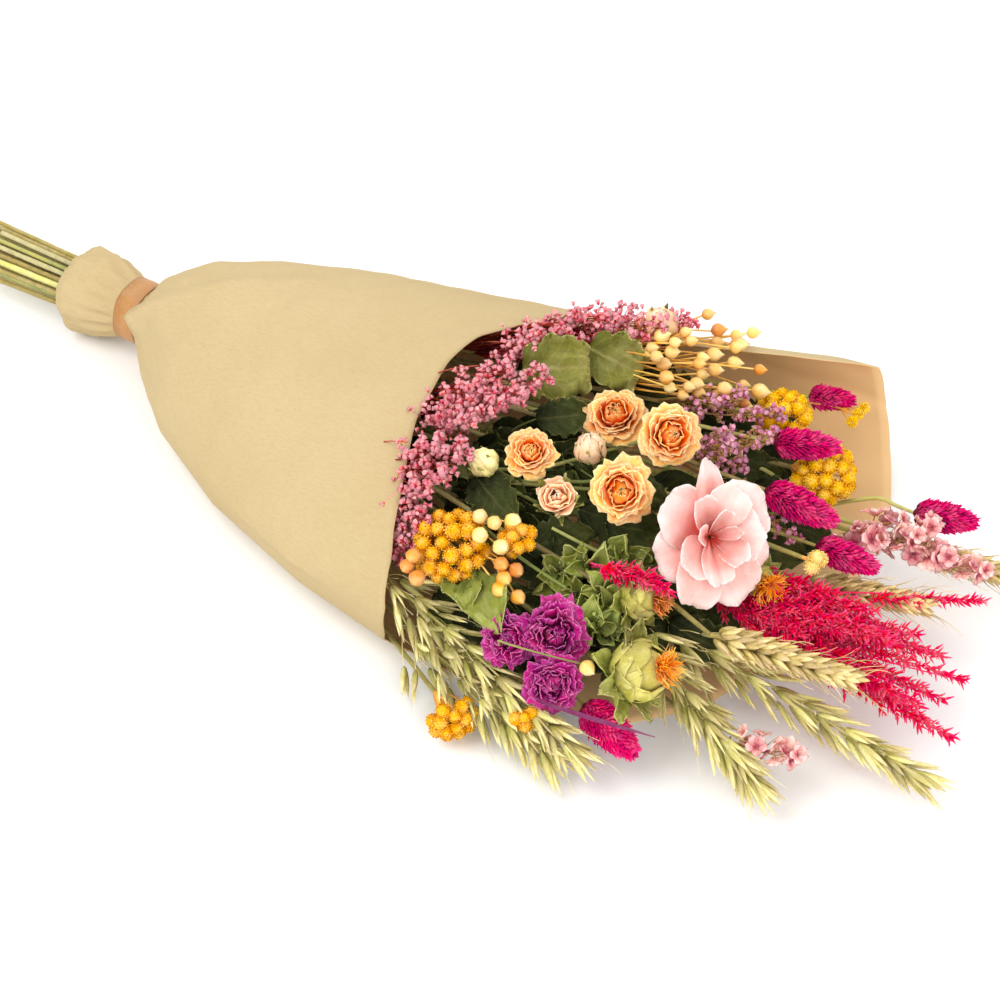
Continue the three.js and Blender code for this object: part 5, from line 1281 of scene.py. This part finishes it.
for name, pods in podPlaces.items():
    head = Vector(heads[name])
    line = stemLine(name, head)
    shells, rusty, cups, stalks, more = Heap(), Heap(), Spots(), [], []
    for i, pod in enumerate(pods):
        more.append((Vector(pod), 1.0))
        for k in range(flax["extra"].get(name, 0)):
            off = leaning(towardsEye, 1.35, (i * 3 + k) * golden) * (8.5 + 5 * draw(i + k))
            more.append((Vector(pod) + off - towardsEye * 3, 0.8))
    for i, (pod, share) in enumerate(more):
        start = pointOn(line, head.x - 2 - 1.1 * i)
        axis = (pod - start).normalized()
        size = flax["radius"] * (0.9 + 0.2 * draw(i + 5)) * share
        rust = pod.z < flax["rustBelow"].get(name, 0) or (name == "flax_1" and i % 7 == 2)
        profile = [(size * math.sin(p), -size * math.cos(p) * 0.96 + size * 0.2 * (p > 2.7))
                   for p in np.linspace(0.4, 2.9, 6)]
        addRound(rusty if rust else shells, profile, (-size, size * 1.5), 10, pod, axis, draw(i), 0.5, flax["seams"])
        if name == "flax_3":
            path = [start, longStalk[0]] + bent(longStalk[1], pod - axis * size * 0.9, 0.12, 1, 9)
            stalks.append((path, [0.6, 0.42, 0.42]))
        else:
            stalks.append((bent(start, pod - axis * size * 0.9, 0.06, i), [0.7, 0.42, 0.5]))
        for k in range(5):
            way = leaning(axis, 1.0, k * fifthTurn)
            cups.add(pod - axis * size * 0.98, way + axis * 0.35, size * 0.95, 0, 0.5, 0.2)
    finishPiece(name, [
        stemTube(name, head), tubes(stalks, "greenStem" if name == "flax_3" else "goldStalk", 5, 3),
        shells.toMesh("flaxPod" if name == "flax_1" else "palePod"), cups.grow(scaleShape, "goldStalk"),
        rusty.points and rusty.toMesh("rustPod"),
    ], "flax_pods")
print("flax pods hung")

# Sprays of small florets on fine branching twigs, by the tips of each plant

broom = {"length": 32, "radius": 10, "lean": 0.95, "twigs": 15, "florets": 6, "size": 2.4, "offset": 2.0,
         "loose": 45}
statice = {"length": 34, "radius": 9, "lean": 0.8, "twigs": 13, "florets": 4, "size": 2.4, "offset": 1.2,
           "bare": 0.4}
larkspur = {"length": 34, "radius": 8, "lean": 1.0, "twigs": 13, "florets": 1, "size": 5.6, "offset": 0.5}
sprays = {
    "broom": (broom, "broomFloret", "redTwig", bellShape, "pink_florets", [
        [(246, -100, 66), (249, -94, 76), (243, -82, 84), (250, -74, 90), (238, -64, 94), (254, -62, 98),
         (242, -104, 58)],
        [(244, -44, 100), (250, -30, 100), (236, -24, 100), (258, -16, 100), (242, -6, 102), (260, 0, 102),
         (232, -46, 96)],
        [(240, 18, 100), (252, 32, 100), (246, 54, 94), (266, 60, 96), (288, 66, 98), (268, 74, 92), (298, 80, 96)],
    ]),
    "statice": (statice, "lilacFloret", "greyCalyx", bellShape, "lilac_florets", [
        [(352, 48, 84), (342, 56, 84), (336, 42, 88), (362, 60, 78)],
        [(372, 24, 98), (362, 4, 100), (352, 18, 94), atPixel(742, 468, 74), atPixel(772, 436, 78),
         atPixel(764, 502, 66), atPixel(792, 538, 58), atPixel(722, 455, 78)],
    ]),
    "larkspur": (larkspur, "larkspurPetal", "greyCalyx", paperyShape, "dusty_florets", [
        [(448, 38, 56), (436, 24, 62)], [(482, 44, 46), (466, 38, 52), (452, 50, 56)], [(452, -94, 30)],
    ]),
}


def floretSpray(name, tips, form, floretFinish, twigFinish, shape, slot):
    head = Vector(heads[name])
    line = stemLine(name, head)
    florets, calyces, twigs = Spots(), Spots(), []
    for k, tip in enumerate(tips):
        start = pointOn(line, head.x - 2 - 2.6 * k)
        axis = (Vector(tip) - start).normalized()
        twigs.append((bent(start, tip, 0.05, k, 5), [0.9, 0.6, 0.35], draw(k)))
        for i in range(form["twigs"]):
            share = (i + 0.5) / form["twigs"]
            root = Vector(tip) - axis * form["length"] * (1 - share)
            way = leaning(axis, form["lean"] * (1.15 - 0.6 * share), i * golden + k)
            end = root + way * form["radius"] * (0.7 + 0.6 * draw(i + k * 7)) * (1.15 - 0.5 * share)
            end += Vector((0, 0, 1.5))
            twigs.append((bent(root, end, 0.12, i + k, 3), [0.35, 0.25, 0.2], draw(i)))
            for j in range(form["florets"]):
                at = root.lerp(end, 0.35 + 0.65 * (j + 0.5) / form["florets"])
                aim = leaning(way, 0.4 + 0.9 * draw(i + j * 3), j * golden + i)
                at = at + aim * form["offset"] * draw(i + j)
                size = form["size"] * (0.75 + 0.5 * draw(i * 5 + j + k))
                if "bare" in form:  # dry calyces, a share of them without a floret
                    flare = (size * 1.5, size * 1.5, size * 1.4)
                    calyces.add(at - aim * 2.4, leaning(aim, 0.3, j), flare, 0, draw(j), 0.5)
                    if draw(i * 3 + j + k) < form["bare"]:
                        continue
                florets.add(at, aim, size, fullTurn * draw(j), draw(i + j + k), draw(k * 11 + i // 3))
    for k in range(form.get("loose", 0)):  # loose twigs between the sprays
        first, second = Vector(tips[k % len(tips)]), Vector(tips[(k + 1) % len(tips)])
        tip = first.lerp(second, draw(k)) - Vector((18 * draw(k + 3), 0, 14 * draw(k + 9)))
        twigs.append((bent(pointOn(line, head.x - 4 - 24 * draw(k)), tip, 0.1, k, 4), [0.6, 0.3], draw(k)))
    finishPiece(name, [calyces.rows and calyces.grow(scaleShape, twigFinish, 0.2), stemTube(name, head),
                       tubes(twigs, twigFinish, 4, 2), florets.grow(shape, floretFinish, 0.2)], slot)


for kind, (form, floretFinish, twigFinish, shape, slot, plants) in sprays.items():
    for number, tips in enumerate(plants, 1):
        floretSpray(f"{kind}_{number}", tips, form, floretFinish, twigFinish, shape, slot)
print("sprays of florets grown")

# Rose sprays and the leafy sprig: branches to each bloom, thorns and leaves on stalks

carriers = ["peach_spray_1", "peach_spray_2", "peach_spray_3", "peach_spray_3", "purple_spray", "purple_spray",
            "purple_spray", "peach_spray_3", "peach_spray_3", "peach_spray_1", "peach_spray_4", "sola_stem"]
carried = [(at, axis, radius * roseHeight * footShare + 4.4)
           for blooms, *_ in roses.values() for at, axis, radius in blooms]
carried += [(at, axis, height * footShare + 3.4) for at, axis, _, height, _ in peachBuds]
carried.append((pithFlower["at"], pithFlower["axis"], 4.4))
branches = {name: [] for name in heads}
for name, (at, axis, below) in zip(carriers, carried):
    branches[name].append((Vector(at) - unitOf(axis) * below, unitOf(axis)))

sprayLeaves = {  # where the stalk leaves the stem, the leaf's middle, its direction, length and outline
    "peach_spray_1": [(215, (243, -56, 80), (0.5, 0.2, 0.6), 26, serrated)],
    "peach_spray_2": [(225, (257, 19, 92), (0.75, 0.6, -0.05), 34, lobed),
                      (240, (274, 0, 82), (0.8, 0.5, 0.1), 30, serrated),
                      (245, (318, -10, 62), (0.9, 0.1, 0), 42, serrated)],
    "peach_spray_3": [(230, (272, -62, 74), (0.8, -0.35, -0.1), 36, serrated),
                      (236, atPixel(458, 462, 84), (0.7, -0.5, 0), 24, serrated),
                      (250, (306, -68, 50), (0.8, -0.4, 0), 42, serrated)],
    "peach_spray_4": [(225, (276, 45, 86), (0.9, 0.3, -0.4), 30, lobed),
                      (235, (300, 62, 60), (0.9, 0.3, 0), 42, serrated),
                      (236, (326, 82, 40), (0.9, 0.2, -0.1), 48, ovate)],
    "purple_spray": [(270, (306, -86, 26), (0.9, -0.2, -0.1), 48, ovate),
                     (255, atPixel(487, 604, 60), (0.75, -0.6, 0), 38, ovate),
                     (250, atPixel(464, 592, 58), (0.6, -0.7, 0.1), 30, ovate)],
    "sola_stem": [(320, (350, -26, 30), (0.9, 0, -0.1), 48, ovate), (300, (334, 20, 36), (0.9, 0.3, -0.1), 48, ovate),
                  (340, (370, 6, 26), (0.9, 0.2, -0.1), 48, ovate)],
    "leafy_sprig": [(295, (322, -50, 28), (0.9, 0, -0.1), 48, ovate)],
}
# The dark leaves here and deep in the bunch are partly painted shade: their near-black colour stands for the shadow
# between the stems
# Dark leaves at pixels of the photo: x, y, height and heading in the picture
darkLeavesInShade = [
    (724, 446, 48, 0.2), (752, 470, 46, -0.1), (782, 500, 44, -0.4), (806, 530, 40, -0.5), (764, 420, 50, 0.1),
    (790, 462, 44, -0.2), (742, 520, 42, -0.4), (775, 548, 42, -0.3), (640, 640, 40, -0.5), (604, 608, 44, -0.3),
    (676, 622, 40, -0.6), (700, 640, 36, -0.5), (654, 606, 42, -0.2), (690, 600, 40, -0.3), (730, 608, 40, -0.3),
    (574, 590, 46, -0.6), (620, 660, 34, -0.6), (612, 520, 60, -0.3), (560, 540, 60, 0.2), (640, 530, 60, -0.2),
]
for x, y, z, heading in darkLeavesInShade:
    way = rightOfEye * math.cos(heading) + aboveEye * math.sin(heading)
    middle = atPixel(x, y, z)
    sprayLeaves["sola_stem"].append((min(330, middle.x - 30), middle, way, 34, serrated))
# Dark leaves deep in the bunch, which fill it between the stems; their near-black colour is partly painted shade
deepLeaves = {"peach_spray_1": 14, "peach_spray_2": 18, "peach_spray_3": 22, "peach_spray_4": 18,
              "purple_spray": 16, "sola_stem": 16, "leafy_sprig": 14}
paleStalks = {"sola_stem": [((468, 512, 66), (566, 588, 62)), ((552, 528, 70), (700, 590, 60))]}  # across the dark
sprig = {"leafy_sprig": [(588, 566, 64), (618, 562, 62), (560, 574, 60), (634, 588, 60), (604, 592, 64),
                         (578, 600, 58), (622, 616, 56), (596, 628, 54), (650, 566, 58), (566, 632, 48),
                         (610, 608, 60)]}
whorl = {"leaves": 7, "length": 14}
thorns = {"number": 14, "every": 9, "length": 2.2}

for name, leaves in sprayLeaves.items():
    head = Vector(heads[name])
    line = stemLine(name, head)
    pale, dark, lines = Heap(), Heap(), []
    for k, (end, axis) in enumerate(branches[name]):
        back = head.lerp(pointOn(line, head.x - 20), 0.15)
        path = [back, back.lerp(end - axis * 12, 0.5), end - axis * 12, end]
        lines.append((path, [1.15, 1.0, 1.0, 1.2], draw(k)))
    for k, (x, middle, way, length, outline) in enumerate(leaves):
        big = outline is not serrated and middle[2] > 50
        root = addLeaf(pale if big else dark, middle, way, towardsEye, length, outline, k + len(name),
                       wave=0.22 if outline is lobed else 0.16)
        lines.append((bent(pointOn(line, x), root, 0.08, k, 4), [0.9, 0.7, 0.5]))
    for start, end in paleStalks.get(name, []):
        lines.append((bent(atPixel(*start), atPixel(*end), 0.03, 5, 5), [0.9, 1.0, 0.8], 0.9))
    for k in range(deepLeaves[name]):
        start = pointOn(line, min(head.x - 40 + 75 * draw(k + len(name) * 3), head.x))
        way = Vector((0.8, 0.9 * (draw(k * 5 + 1) - 0.5), 0.5 * (draw(k * 7 + 2) - 0.35)))
        middle = start + Vector((12 + 26 * draw(k + 2), 44 * (draw(k * 3) - 0.5), 10 * draw(k * 9) - 6))
        middle.z = min(max(middle.z, 16), 50)
        root = addLeaf(dark, middle, way, towardsEye, 26 + 16 * draw(k + 8), serrated if k % 2 else ovate, k * 7,
                       curl=0.3, wave=0.16, fold=0.2, deep=True)
        lines.append((bent(start, root, 0.1, k, 3), [0.6, 0.5, 0.45]))
    for i, spot in enumerate(sprig.get(name, [])):
        end = atPixel(*spot)
        lines.append((bent(pointOn(line, head.x - 1.5 * i), end, 0.1, i, 5), [0.8, 0.6, 0.4]))
        for k in range(whorl["leaves"]):
            turned = k * golden + i * 1.9
            aim = rightOfEye * math.cos(turned) + aboveEye * math.sin(turned)
            aim = (aim + towardsEye * (0.1 + 0.9 * draw(k + i * 3))).normalized()
            long = whorl["length"] * (0.6 + 0.6 * draw(k * 3 + i))
            at = end - towardsEye * 0.9 * (whorl["leaves"] - k)
            facing = towardsEye + Vector([draw(k + i + shift) - 0.5 for shift in (0, 5, 9)]) * 1.5
            root = addLeaf(pale, at + aim * (1.5 + long / 2), aim, facing, long, broad if k % 2 else ovate, k + i * 9,
                           wave=0.2, curl=-0.5 if k % 3 else 0.6, cup=0.6, fold=0.15)
            lines.append(([at, root], [0.4, 0.35]))
    for k in range(thorns["number"]):
        x = head.x - 6 - thorns["every"] * k
        if x > 12:
            start = pointOn(line, x)
            lines.append(([start, start + leaning((1, 0, 0), 1.9, k * golden) * thorns["length"]], [0.6, 0.1]))
    paleFinish = "brightLeaf" if name in ("leafy_sprig", "purple_spray") else "oliveLeaf"
    finishPiece(name, [stemTube(name, head, finish="greenStem"), tubes(lines, "greenStem", 5, 3),
                       pale.points and pale.toMesh(paleFinish), dark.toMesh("darkLeafAndShade")], "stems_leaves")
print("sprays and leaves grown")

for shape in smallShapes:
    bpy.data.objects.remove(shape)

# The floor

half = studio["floor"] / 2
floorMesh = bpy.data.meshes.new("floor")
floorMesh.from_pydata([(-half, -half, 0), (half, -half, 0), (half, half, 0), (-half, half, 0)], [], [(0, 1, 2, 3)])
floorMaterial = bpy.data.materials.new("studioFloor")
floorMaterial.use_nodes = True
floorShader = floorMaterial.node_tree.nodes["Principled BSDF"].inputs
floorShader["Base Color"].default_value = (*[studio["paleness"]] * 3, 1)
floorShader["Roughness"].default_value = 0.9
floorMesh.materials.append(floorMaterial)
floor = inScene("floor", floorMesh)
print("floor laid")
